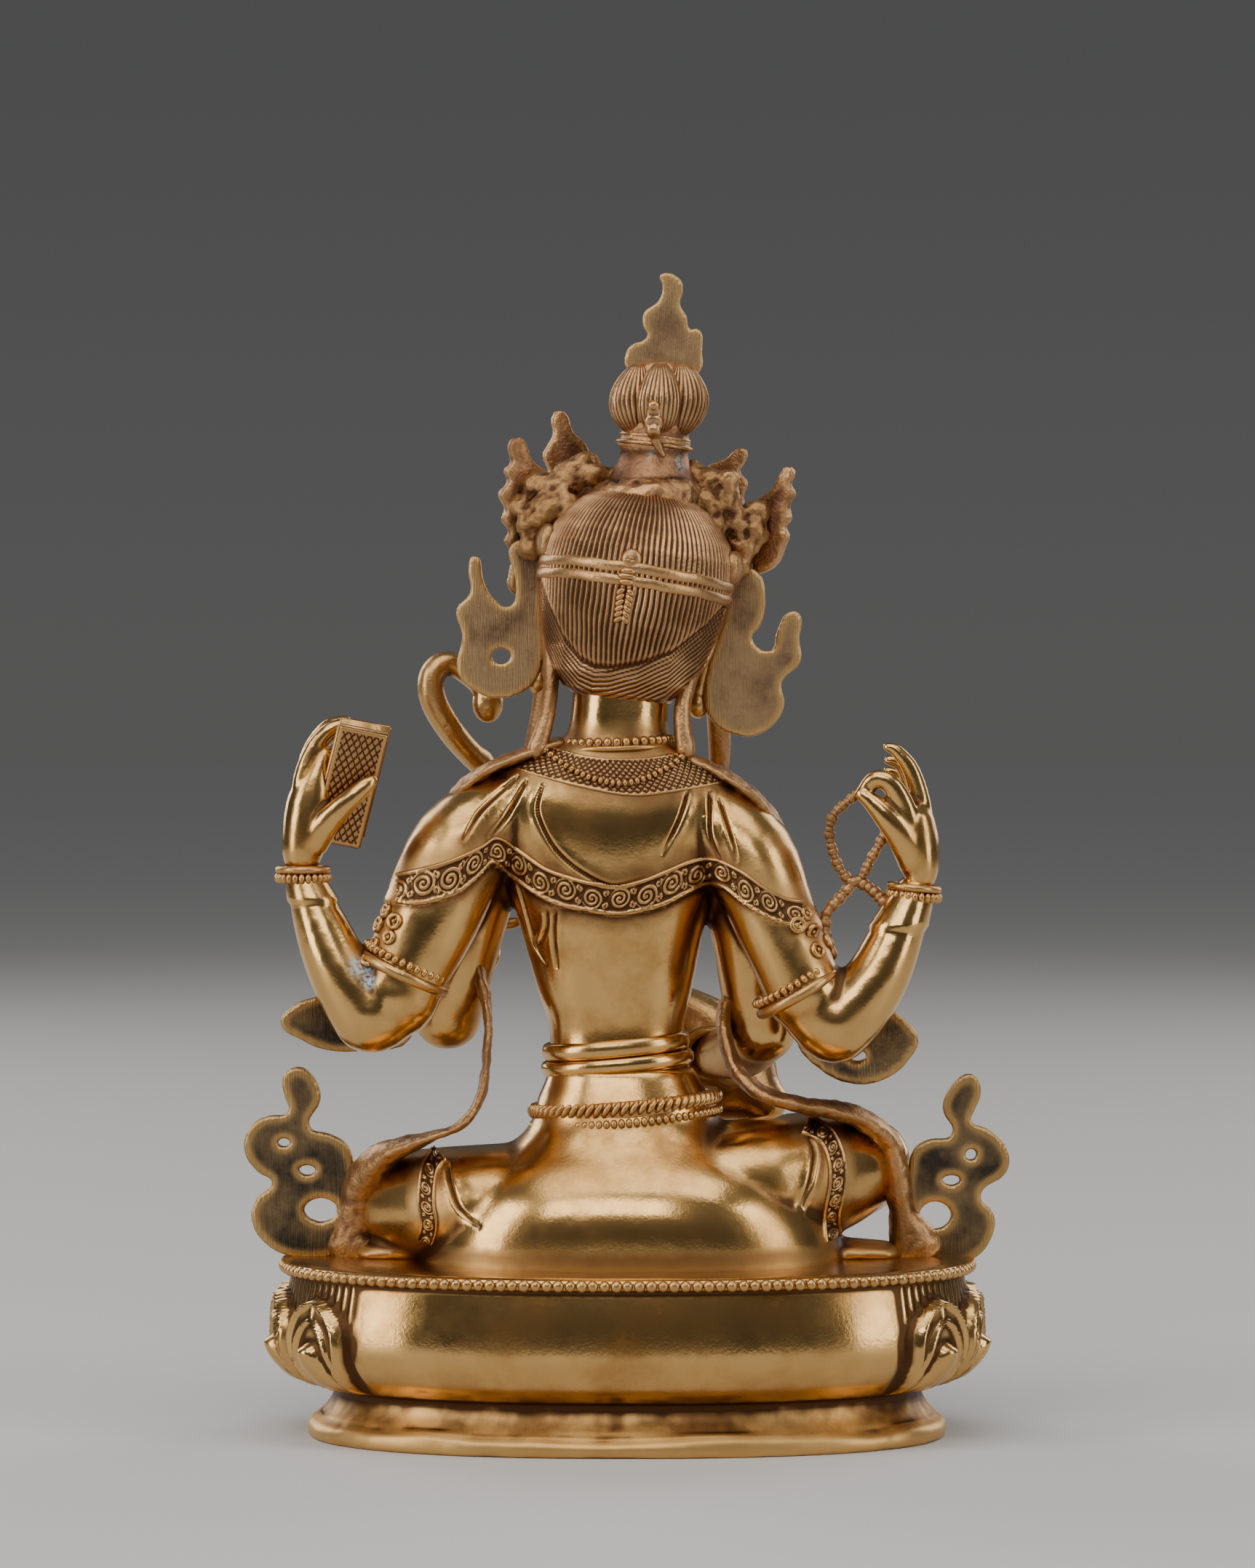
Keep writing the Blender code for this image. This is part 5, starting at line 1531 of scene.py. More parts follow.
FRONT_COLLAR_LOWER = [(-12.6, 124.6), (-6.4, 118), (2.2, 115.4), (10.8, 118.2), (17.4, 125)]
FRONT_NECKLACES = (
    [(-11, 122.4), (-6, 115), (2.4, 111.4), (10.8, 115), (15.8, 122.6)],
    [(-9, 114), (-5, 103.6), (2.6, 98.6), (10.2, 103.6), (14.2, 114)],
)
HEM_UPPER = [
    (43.2, 107), (39, 108), (35, 109.1), (30.6, 110.8), (27.4, 112.3), (24.4, 113.9), (20.5, 111.7),
    (15.5, 108.3),
    (11.1, 106.7), (6.6, 105.5), (2.2, 104.8), (-2.3, 105.8), (-6.7, 107.5), (-11.7, 109.5), (-16.2, 110),
    (-21.2, 107.8),
    (-25.6, 104.7), (-29.6, 102.6), (-32.8, 102),
]
HEM_LOWER = [
    (43.2, 101.4), (39, 101.2), (35, 102.1), (31.4, 103.5), (28, 106.5), (25.5, 108.9), (22.2, 106.4),
    (17.4, 103.1),
    (12.8, 100.9), (7.7, 99.9), (2.2, 99.2), (-2.3, 99.7), (-6.7, 100.8), (-11.2, 103.1), (-15, 104.7),
    (-18.2, 104.2),
    (-22.4, 100.9), (-27.3, 98.3), (-32.8, 96.4),
]
COLLAR_UPPER = [(14.6, 130.6), (8, 129), (2, 128.4), (-4, 128.6), (-10.2, 129.6)]
COLLAR_LOWER = [(21, 126.4), (10, 123.4), (-0.4, 121.6), (-8.4, 122.2), (-18, 123.8)]
NECKLACE = [
    (15.2, 129.4), (11.6, 127), (6.8, 124.8), (1.2, 123.8), (-3.6, 124.8), (-8.4, 127.2), (-10.8, 129)
]
LEFT_BORDER = [(35.4, 53.6), (37.2, 51), (37.7, 45.4), (37.1, 41), (38, 37.6)]
RIGHT_BORDER = [(-33.6, 59.2), (-37.6, 56.8), (-39.3, 52.5), (-39.3, 47.9), (-38.3, 42.6), (-38.6, 37.6)]


def offset_line(line, gap):
    """A line moved sideways by gap, in the x, z plane."""
    moved = []
    for i, point in enumerate(line):
        before = Vector(line[max(i - 1, 0)])
        after = Vector(line[min(i + 1, len(line) - 1)])
        along = (after - before).normalized()
        moved.append((point[0] - along.y * gap, point[1] + along.x * gap))
    return moved


def build_torso():
    """Back, shoulders, raised arms and neck in one skin, with the shawl and its folds."""
    form = bmesh.new()
    for part in (torso(), back_arm(LEFT_UPPER, LEFT_FORE), back_arm(RIGHT_UPPER, RIGHT_FORE), front_arms()):
        join_into(form, part)
    mesh = fused_mesh(form, sizes().fineness * 1.5, 7)
    raise_shawl(mesh, HEM_LOWER, 0.5)
    carve_lines(mesh, BACK_FOLDS, sizes().fold_width, sizes().fold_depth)
    carve_lines(mesh, CHEST_FOLDS, sizes().fold_width * 1.2, sizes().fold_depth, side=FRONT, times=1)
    return mesh


def build_legs():
    """Hips and legs in one skin, with the folds of the robe."""
    mesh = fused_mesh(seated_legs(), sizes().fineness * 1.6, 16)
    carve_lines(mesh, LEG_FOLDS, sizes().fold_width * 1.1, sizes().fold_depth)
    carve_lines(mesh, SHIN_FOLDS, sizes().fold_width * 1.2, sizes().fold_depth * 1.3, side=FRONT, times=1)
    return mesh


def band_between(line, wide):
    """The two edges of a band along a line."""
    return offset_line(line, -wide / 2), offset_line(line, wide / 2)


# Hands, book and rosary


def left_hand():
    """The raised left hand, closed round the book."""
    form = bmesh.new()
    palm = [
        (60.9, 8, 106.8, 2.5, 3), (61.3, 7.8, 110.4, 3.9, 4.2), (60.4, 7.6, 115.4, 4.7, 4.4),
        (59.7, 7, 120.6, 4.5, 4.4),
    ]
    limb(form, [*palm, (58.8, 6, 124.6, 3.4, 4.6), (57.4, 5.6, 128.6, 2.4, 3.8)], sides=24)
    for depth, curl in ((8.6, 0), (5.6, 0.5), (2.6, 0.3), (-0.2, -0.5)):
        finger = [(61.6, depth, 119.0, 2.0, 1.8), (61.2, depth - 0.4, 125.0, 1.8, 1.7)]
        finger += [
            (59.2 + curl, depth - 1.0, 130.4, 1.6, 1.6), (56.2 + curl, depth - 1.4, 133.8 + curl, 1.5, 1.5)
        ]
        limb(form, [*finger, (52.8 + curl, depth - 1.6, 135.0 + curl, 1.15, 1.2)], sides=14)
    thumb = [(59.4, 9.4, 112.6, 3.2, 2.8), (56.4, 10.8, 116.6, 2.7, 2.4), (52.8, 11.8, 120.2, 2.1, 1.9)]
    limb(form, [*thumb, (49.4, 11.6, 123.2, 1.7, 1.5), (48, 11.2, 124.4, 1.2, 1.1)], sides=16)
    return form


def book_place(shift, gape):
    """Where a board of the book stands: shift moves it through the book, gape opens it."""
    lean = Matrix.Rotation(math.radians(-15), 4, "Y") @ Matrix.Rotation(-0.3 + gape, 4, "X")
    return Matrix.Translation(
        (52.3, 6, 123.8)
    ) @ lean @ Matrix.Translation((0, shift, 0)) @ Matrix.Rotation(0.22, 4, "Z")


def book_boards():
    """Two boards that open a little, with the leaves between them."""
    form = bmesh.new()
    for shift, gape, thick in ((-2.6, -0.05, 1.5), (0, 0, 2.4), (2.4, 0.05, 1.5)):
        board = bmesh.new()
        inset = 0.0 if shift else 1.4
        bmesh.ops.create_cube(
            board, size=1.0, matrix=Matrix.Diagonal((9.8 - inset, thick, 23.4 - inset, 1.0))
        )
        bmesh.ops.bevel(board, geom=board.edges[:], offset=0.3, segments=2, affect="EDGES")
        join_into(form, board, book_place(shift, gape))
    return form


def book_cover():
    """The cross-hatched face of the book's back board."""
    form = bmesh.new()
    hollows = form.verts.layers.float.new("carved")
    rows, columns = 96, 40
    wide, high = 9.4, 23.0
    grid = []
    for i in range(rows + 1):
        row = []
        for j in range(columns + 1):
            x, z = (j / columns - 0.5) * wide, (i / rows - 0.5) * high
            edge = min(wide / 2 - abs(x), high / 2 - abs(z))
            first = abs(((x + 0.62 * z) / 1.35) % 1.0 - 0.5) * 2
            second = abs(((x - 0.62 * z) / 1.35) % 1.0 - 0.5) * 2
            cell = min(1.0, 3.0 * min(1 - first, 1 - second))
            height = 0.34 if 0.12 < edge < 0.8 else 0.3 * cell
            height = height if edge > 0.12 else 0.0
            vertex = form.verts.new((x, 0.76 + height, z))
            vertex[hollows] = 0.26 - 0.95 * height
            row.append(vertex)
        grid.append(row)
    for low, top in zip(grid, grid[1:]):
        for j in range(columns):
            form.faces.new((low[j], low[j + 1], top[j + 1], top[j]))
    rim = [edge for edge in form.edges if len(edge.link_faces) == 1]
    made = bmesh.ops.extrude_edge_only(form, edges=rim)["geom"]
    for vertex in made:
        if isinstance(vertex, bmesh.types.BMVert):
            vertex.co.y -= 0.6
    return turned(form, book_place(2.4, 0.05))


def right_hand():
    """The raised right hand, thumb and forefinger together."""
    form = bmesh.new()
    palm = [
        (-54.4, 8, 103.8, 2.5, 3), (-55.3, 7.6, 107.4, 3.4, 4), (-54.7, 7, 112.4, 4.2, 4.8),
        (-54.6, 6.2, 117, 3.4, 4.6),
    ]
    limb(form, palm, sides=24)
    long_finger = [(-56, 6.4, 113, 2.4, 2.4), (-55.2, 6.8, 120.4, 2, 1.9), (-53.4, 7, 126.4, 1.7, 1.6)]
    limb(form, [*long_finger, (-50.8, 7, 129.8, 1.3, 1.2), (-49, 7, 130.6, 0.9, 0.9)], sides=14)
    for depth, top in ((3.2, 126.8), (0, 124.6)):
        finger = [
            (-55.6, depth, 114, 2.0, 1.9), (-54.4, depth, 120.4, 1.7, 1.7), (-52.0, depth, top, 1.3, 1.3)
        ]
        limb(form, [*finger, (-49.4, depth, top + 1.2, 1.0, 1.0)], sides=14)
    index = [(-53.6, 9.2, 113.6, 2.6, 2.4), (-52, 9.8, 119.4, 2.3, 2), (-49.6, 10, 123.6, 2, 1.8)]
    limb(form, [*index, (-46.8, 9.8, 124.6, 1.8, 1.6), (-44.8, 9.4, 122.8, 1.5, 1.4)], sides=14)
    thumb = [(-54.4, 8.6, 108.8, 3.4, 3), (-51.8, 10.2, 113.6, 3, 2.5), (-48.8, 10.6, 117.4, 2.5, 2.1)]
    limb(form, [*thumb, (-45.6, 10.2, 120.6, 1.7, 1.6), (-43.9, 9.8, 121.8, 1.3, 1.3)], sides=16)
    return form


ROSARY = [
    (-43.2, 7, 121.6), (-41, 6.8, 119.8), (-38.9, 6.4, 117.6), (-38.2, 5.8, 114.4), (-38.8, 5.4, 110.8),
    (-40.2, 5, 107.4),
    (-42.6, 4.8, 104.8), (-44.4, 5, 106), (-46.2, 5.2, 109.6), (-48, 5.6, 112.8), (-48.8, 6.2, 116),
    (-48.2, 6.8, 119),
]


def rosary_beads():
    """The looped rosary with its two tails."""
    form = bmesh.new()
    for i, spot in enumerate(even_run(ROSARY, 34)):
        size = 0.95 + 0.2 * math.sin(2.3 * i)
        ball(form, Vector(spot), (1.05 * size, 1.15, 1.0 * size), Matrix.Rotation(0.9 * i, 4, "Y"), 10)
    limb(form, [(*point, 0.75, 0.75) for point in ROSARY], sides=10)
    tails = (
        [(-42.8, 4.8, 105), (-40.4, 5, 102.2), (-37.6, 6, 99), (-37.4, 7, 95), (-38.6, 8.4, 91.6)],
    )
    tails += ([(-43.6, 4.8, 105.2), (-46.6, 5.6, 103.2), (-48.6, 6.4, 101), (-50.2, 7, 98)],)
    for tail in tails:
        limb(form, [(*point, 1.0, 1.0) for point in tail])
        for i, spot in enumerate(even_run(tail, 8)):
            ball(form, Vector(spot), (1.35, 1.3, 1.2 + 0.2 * math.sin(3 * i)), Matrix.Rotation(i, 4, "Y"), 10)
    return form


# Jewellery


def ring_of(form, rows):
    """Joins equal rows of points, placed round a ring, into one closed band."""
    made = [[form.verts.new(point) for point in row] for row in rows]
    count = len(made[0])
    for i, low in enumerate(made):
        high = made[(i + 1) % len(made)]
        for k in range(count):
            j = (k + 1) % count
            form.faces.new((low[k], low[j], high[j], high[k]))


def hoop_points(centre, wide, deep, count, tilt_x=0.0, tilt_y=0.0):
    """Points round a tilted oval, and its axis."""
    spin = Matrix.Rotation(math.radians(tilt_y), 3, "Y") @ Matrix.Rotation(math.radians(tilt_x), 3, "X")
    points = []
    for i in range(count):
        turn = math.tau * i / count
        points.append(Vector(centre) + spin @ Vector((wide * math.cos(turn), deep * math.sin(turn), 0)))
    return points, spin @ Vector((0, 0, 1))


def hoop(form, centre, wide, deep, thick, high, tilt_x=0.0, tilt_y=0.0):
    """A closed ring round a limb or the waist, tilted in degrees."""
    points, up = hoop_points(centre, wide, deep, 72, tilt_x, tilt_y)
    turns = [math.tau * k / 12 for k in range(12)]
    rows = []
    for i, point in enumerate(points):
        along = (points[(i + 1) % 72] - points[i - 1]).normalized()
        side = along.cross(up).normalized()
        rows.append([point + side * thick * math.cos(turn) + up * high * math.sin(turn) for turn in turns])
    ring_of(form, rows)


def bead_hoop(form, centre, wide, deep, count, radii, tilt_y=0.0, slant=0.0):
    """A closed ring of beads, each leaning by slant, like the strands of a rope."""
    points, up = hoop_points(centre, wide, deep, count, tilt_y=tilt_y)
    for i, point in enumerate(points):
        along = (points[(i + 1) % count] - points[i - 1]).normalized()
        out = along.cross(up).normalized()
        frame3 = Matrix((along, out, up)).transposed().to_4x4()
        ball(form, point, radii, frame3 @ Matrix.Rotation(slant, 4, "Y"), 10)


def waist_cords():
    """The rope belt and the string of small beads under it."""
    form = bmesh.new()
    bead_hoop(form, (0.5, 2, 62.9), 17.2, 13.6, 64, (0.74, 1.45, 1.75), tilt_y=5, slant=0.62)
    bead_hoop(form, (0.4, 2.1, 60.2), 17.7, 14.3, 78, (0.7, 0.9, 0.9), tilt_y=5)
    hoop(form, (0.5, 2, 62), 16.7, 13.1, 0.8, 2.2, tilt_y=5)
    return form


def waist_rings():
    """Two rounded bands round the waist."""
    form = bmesh.new()
    hoop(form, (2.2, 1.2, 73.7), 13.1, 10.4, 1.0, 1.75, tilt_y=5.4)
    hoop(form, (1.9, 1.3, 70.6), 13.7, 10.8, 0.9, 1.45, tilt_y=5.2)
    return form


def neck_beads(tree):
    """Bead strings and pendants of the neck, behind and in front."""
    form = bmesh.new()
    bead_hoop(form, (2, 2, 131.6), 10.2, 9.6, 36, (0.85, 0.9, 1), tilt_y=2)
    hoop(form, (2.1, 2, 130.4), 10.4, 9.8, 0.8, 0.6, tilt_y=2)
    spots = []
    for x, z in even_run(NECKLACE, 25):
        point, normal = side_point(tree, x, z)
        spots.append(point + normal * 0.55)
    bead_row(form, spots, (0.55, 0.75, 0.75))
    for line, count in zip(FRONT_NECKLACES, (28, 34)):
        spots = []
        for x, z in even_run(line, count):
            point, normal = side_point(tree, x, z, FRONT)
            spots.append(point + normal * 0.6)
        bead_row(form, spots, (0.6, 0.75, 0.75))
        point, normal = side_point(tree, 2.5, line[2][1] - 1.6, FRONT)
        ball(form, point + normal * 0.5, (1.7, 1.1, 2.1), sides=20)
        stud_ring(form, point, normal, 2.1, 0.4)
    return form


def armlets():
    """Armlets of the raised arms and bracelets of all four."""
    form = bmesh.new()
    for centre, wide, deep, tilt in (((41.8, 9.4, 89.2), 8.2, 8.4, -25), ((-31.6, 9.8, 85.4), 7.9, 8.1, 30)):
        up = Matrix.Rotation(math.radians(tilt), 3, "Y") @ Vector((0, 0, 1))
        bead_hoop(form, Vector(centre) + up * 0.9, wide, deep, 34, (0.72, 0.9, 0.9), tilt_y=tilt)
        hoop(form, Vector(centre) - up * 1.2, wide + 0.1, deep + 0.1, 1.0, 1.1, tilt_y=tilt)
    for centre, tilt in (((61.2, 7.8, 106.6), 0), ((-54, 7.8, 103.2), -6)):
        hoop(form, Vector(centre) + Vector((0, 0, 0.9)), 4.5, 4.6, 0.8, 0.75, tilt_y=tilt)
        bead_hoop(form, Vector(centre) - Vector((0, 0, 0.7)), 4.7, 4.8, 24, (0.66, 0.75, 0.95), tilt_y=tilt)
    for centre, tilt in (((30.4, -23.6, 90), -55), ((-16, -22, 70.4), 80)):
        hoop(form, centre, 4.8, 4.8, 1.0, 1.2, tilt_x=tilt)
    return form


ARMLET_RINGS = (
    [(47.4, 93.6), (46.6, 97.2), (44.6, 95), (48.6, 90.6), (45.2, 99.8), (43.6, 98)],
    [(-37.4, 94), (-34.6, 96.2), (-39.2, 91), (-35.6, 92.6), (-33.4, 99.4), (-31.8, 97.4)],
)


def stud_ring(form, point, normal, radius, tube):
    """A small ring that lies on a surface."""
    turn = normal.to_track_quat("Z", "Y").to_matrix()
    rows = []
    for k in range(20):
        out = Vector((math.cos(math.tau * k / 20), math.sin(math.tau * k / 20), 0.0))
        row = []
        for j in range(8):
            swing = math.tau * j / 8
            push = out * (radius + tube * math.cos(swing)) + Vector((0, 0, tube * math.sin(swing)))
            row.append(point + normal * tube * 0.6 + turn @ push)
        rows.append(row)
    ring_of(form, rows)


def armlet_ornament(tree):
    """The cluster of small rings and curls that stands above each armlet."""
    form = bmesh.new()
    for spots in ARMLET_RINGS:
        for i, (x, z) in enumerate(spots):
            point, normal = side_point(tree, x, z)
            stud_ring(form, point, normal, 1.25 if i % 2 else 1.0, 0.5)
            ball(form, point + normal * 0.4, (0.45, 0.45, 0.45), sides=8)
    return form


def crown_jewels(tree):
    """The stones, bead rings and bead row on the front of the crown."""
    form = bmesh.new()
    for x, z, size in (
        (20.6, 176, 1.5), (12.4, 183, 1.6), (-18.6, 178, 1.6), (-26.4, 171.6, 1.5), (-4.4, 179.6, 2)
    ):
        point, normal = side_point(tree, x, z, FRONT)
        ball(form, point + normal * 0.2, (size, 1.2, size * 1.15), sides=20)
        stud_ring(form, point, normal, size * 1.35, 0.4)
        beads = [
            Vector(
                (
                    x + size * 2.0 * math.cos(math.tau * k / 14), 0,
                    z + size * 2.1 * math.sin(math.tau * k / 14),
                )
            )
            for k in range(14)
        ]
        for bead in beads:
            spot, _ = side_point(tree, bead.x, bead.z, FRONT)
            if (spot - point).length < size * 3:
                ball(form, spot, (0.5, 0.5, 0.5), sides=8)
        tip, _ = side_point(tree, x, z + size * 3.1, FRONT)
        if (tip - point).length < size * 4:
            ball(form, tip, (0.8, 0.7, 1.3))
    for i in range(33):
        x = -20.0 + 37.0 * i / 32
        spot, normal = side_point(tree, x, 166.9 + 0.15 * (x + 1.2), FRONT)
        size = 1.1 if i % 4 == 0 else 0.62
        ball(form, spot + normal * 0.2, (size, size, size))
    return form


# Hair


def head_roll():
    """The head's place and tilt."""
    return Matrix.Translation(HEAD_CENTRE) @ Matrix.Rotation(HEAD_ROLL, 4, "Y")


def cap_radius(z):
    """Half width of the hair cap at a height from the head's centre."""
    rows = [
        (-21.9, 5), (-21.2, 7.4), (-19.6, 10.6), (-16.5, 13.4), (-12, 15.4), (-6, 16.9), (0, 17.6)
    ]
    rows += [(4, 17.7), (8, 17.1), (11, 16), (14, 13.9), (16.5, 11.4), (18.6, 8)]
    return float(np.interp(z, [row[0] for row in rows], [row[1] for row in rows]))


def nape_edge(x):
    """Height at which the upright strands end above the swept crescent of the nape."""
    xs = (-17.5, -13.9, -8.8, -3, 2, 5, 7.9, 11.3, 15, 17.5)
    zs = (1, -4.6, -10.2, -13.4, -14.9, -15.1, -14, -10.8, -5, 0)
    return float(np.interp(x, xs, zs))


def hair_cap():
    """The combed hair that covers the back and sides of the head, with the swept nape."""
    form = bmesh.new()
    hollows = form.verts.layers.float.new("carved")
    strands = sizes().hair_strands
    half_turn = math.radians(112)
    columns, rows = 520, 108
    relief, step, pitch = 0.42, 0.75, 0.92
    foot, height = -21.8, 40.4
    grid = []
    for i in range(rows + 1):
        share = (i / rows) ** 1.3
        z = foot + height * (0.5 - 0.5 * math.cos(math.pi * (0.05 + 0.93 * share)))
        wide = cap_radius(z)
        row = []
        for j in range(columns + 1):
            turn = math.pi / 2 - half_turn + 2 * half_turn * j / columns
            x = wide * math.cos(turn)
            gap = z - nape_edge(x)
            wave = 0.5 * math.sin(0.33 * z + 3.0 * turn) + 0.35 * math.sin(0.8 * z + 11.0 * turn)
            comb = 0.5 + 0.5 * math.cos(strands * turn + wave)
            upright = relief * comb**0.8 + step * min(1.0, max(0.0, gap) / 0.8)
            flow = gap * 1.0 + 0.16 * x * max(0.0, math.sin(turn))
            swept = relief * (0.5 + 0.5 * math.cos(math.tau * flow / pitch + 0.4 * wave)) ** 0.8
            lift = upright if gap > 0 else swept
            out = wide + lift - 0.25
            row.append(form.verts.new((out * math.cos(turn), 0.8 + out * math.sin(turn), z)))
            groove = comb if gap > 0 else swept / relief
            row[-1][hollows] = 0.11 - 0.17 * groove + 0.14 * ridge(gap, 0.9)
        grid.append(row)
    # The strands' skin turns in at its top and foot
    inner = [[form.verts.new((v.co.x * 0.86, v.co.y * 0.86, v.co.z)) for v in row] for row in grid[::rows]]
    strips = [*zip(grid, grid[1:]), *zip(grid[::rows], inner)]
    for low, high in strips:
        for j in range(columns):
            form.faces.new((low[j], low[j + 1], high[j + 1], high[j]))
    return form


def headband():
    """Two flat ridges round the head, with a stud, a knot and a braided tassel behind."""
    form = bmesh.new()
    for rise in (1.2, -1.25):
        rows = []
        for i in range(120):
            turn = math.tau * i / 120
            out = Vector((math.cos(turn), math.sin(turn), 0.0))
            middle = Vector((0.0, 0.8, 1.8 + rise + 0.06 * 18 * math.sin(turn))) + out * 18.0
            wave = 0.08 * math.sin(9 * turn) + 0.06 * math.sin(23 * turn + rise)
            rows.append([middle + out * x + Vector((0, 0, z + wave)) for x, z in BAND_EDGE])
        ring_of(form, rows)
    ball(form, Vector((1.3, 18.7, 5.7)), (2, 1.1, 2), sides=24)
    for x, z in ((1.4, 5.9), (1, 5.3), (1.9, 5.4)):
        ball(form, Vector((x, 19.75, z)), (0.55, 0.3, 0.35), sides=8)
    for rise, wide in ((3.6, 1.7), (2.6, 2), (1.5, 1.6)):
        ball(form, Vector((1.6, 19.0, rise - 0.2)), (wide, 1.1, 0.75), sides=16)
    for side in (-1, 1):
        for i in range(6):
            middle = Vector((1.5 + side * (0.95 - 0.06 * i), 18.9 - 0.16 * i, -0.5 - 1.05 * i))
            ball(form, middle, (1.1, 0.8, 0.6), Matrix.Rotation(side * 0.7, 4, "Y"), 10)
    return form


BAND_EDGE = [(-0.5, -1.05), (0.35, -1.1), (0.72, -0.7), (0.8, 0), (0.72, 0.7), (0.35, 1.1), (-0.5, 1.05)]


def topknot_lobes():
    """Six loops of combed hair, bound tight below and swelling above."""
    form = bmesh.new()
    hollows = form.verts.layers.float.new("carved")
    strands, rows = 13, 22
    columns = strands * 8
    for k in range(6):
        face = Matrix.Rotation(math.radians(60 * k), 3, "Z")
        rings = []
        for i in range(1, rows):
            rise = i / rows
            swell = math.sin(math.pi * rise**0.86) ** 0.62
            out = 2.4 + 3.4 * math.sin(math.pi * min(1.0, 0.16 + 0.62 * rise))
            ring = []
            for j in range(columns):
                turn = math.tau * j / columns
                comb = 0.34 * (
                    0.5 + 0.5 * math.cos(2 * strands * turn + 0.6 * math.sin(5 * rise + k))
                ) * swell
                x = (4.1 * swell + comb) * math.cos(turn)
                y = out + (4.2 * swell + comb) * math.sin(turn)
                ring.append(
                    face @ Vector((x, y, 0.0)) + Vector((-5.7 - 0.5 * rise, 0.0, 188.8 + 14.8 * rise))
                )
            rings.append(ring)
        start = len(form.verts)
        skin_rings(form, rings)
        form.verts.ensure_lookup_table()
        for n, vertex in enumerate(form.verts[start:]):
            i, j = divmod(n, columns)
            comb = 0.5 + 0.5 * math.cos(
                2 * strands * math.tau * j / columns + 0.6 * math.sin(5 * (i + 1) / rows + k)
            )
            vertex[hollows] = 0.1 - 0.16 * comb
    return form


def topknot_drum():
    """The granular rim and bell under the knot of hair."""
    form = bmesh.new()
    stack(
        form,
        [
            (-2.6, 1, 173.5, 10.4, 10.2), (-3.2, 1, 176, 10.9, 10.4), (-3.8, 0.6, 179.6, 10.6, 10.2),
            (-4.2, 0.4, 181, 8.6, 8.2), (-4.9, 0, 184.6, 6.8, 6.6), (-5.1, 0, 186.6, 6.4, 6.2),
            (-5.1, 0, 187.8, 7, 6.8), (-5.2, 0, 189.4, 6.4, 6.4), (-5.6, 0, 193, 6.6, 6.6),
            (-5.9, 0, 203.4, 4, 4),
        ],
        steps=4,
        sides=48,
    )
    return form


def topknot_tie():
    """The knot at the foot of the topknot and its two thin rings."""
    form = bmesh.new()
    for side in (-1, 1):
        for rise, out in ((190, 0.5), (191.8, 0.9), (193.6, 0.6)):
            fold = [(-4.9, 8.9, rise + 1.4, 0.5, 0.5), (-4.9 + side * out, 9.5, rise + 0.4, 0.85, 0.7)]
            limb(form, [*fold, (-4.9 + side * out * 1.5, 8.7, rise - 0.9, 0.5, 0.5)], sides=10)
    ball(form, Vector((-4.9, 9.9, 194.9)), (1.3, 1, 1))
    limb(
        form, [(-4.9, 8.2, 190, 1, 0.7), (-5.6, 7.8, 187.6, 0.9, 0.6), (-6.8, 7.2, 185.4, 0.5, 0.4)],
        sides=10,
    )
    hoop(form, (-5.1, 0, 187.7), 6.9, 6.7, 0.55, 0.5, tilt_y=-7)
    hoop(form, (-5.3, 0, 189.2), 6.3, 6.2, 0.55, 0.5, tilt_y=-7)
    return form


def finial():
    """The flame on the topknot."""
    form = bmesh.new()
    plate(form, FINIAL, 3.0, -0.5)
    return form


# Operators


class PieceOperator:
    """What every operator of this add-on shares."""

    bl_options = {"REGISTER", "UNDO"}


class STATUE_OT_base(PieceOperator, Operator):
    """Make the lotus base with its petals, panel and bead rim"""

    bl_idname = "statue.base"
    bl_label = "Lotus Base"

    def execute(self, context):
        add_piece("lotus_base_shell", build_base(), polished_brass(), SHELL, base=True)
        add_piece("rim_beads", build_rim_beads(), brown_brass(), TRIM, base=True)
        return {"FINISHED"}


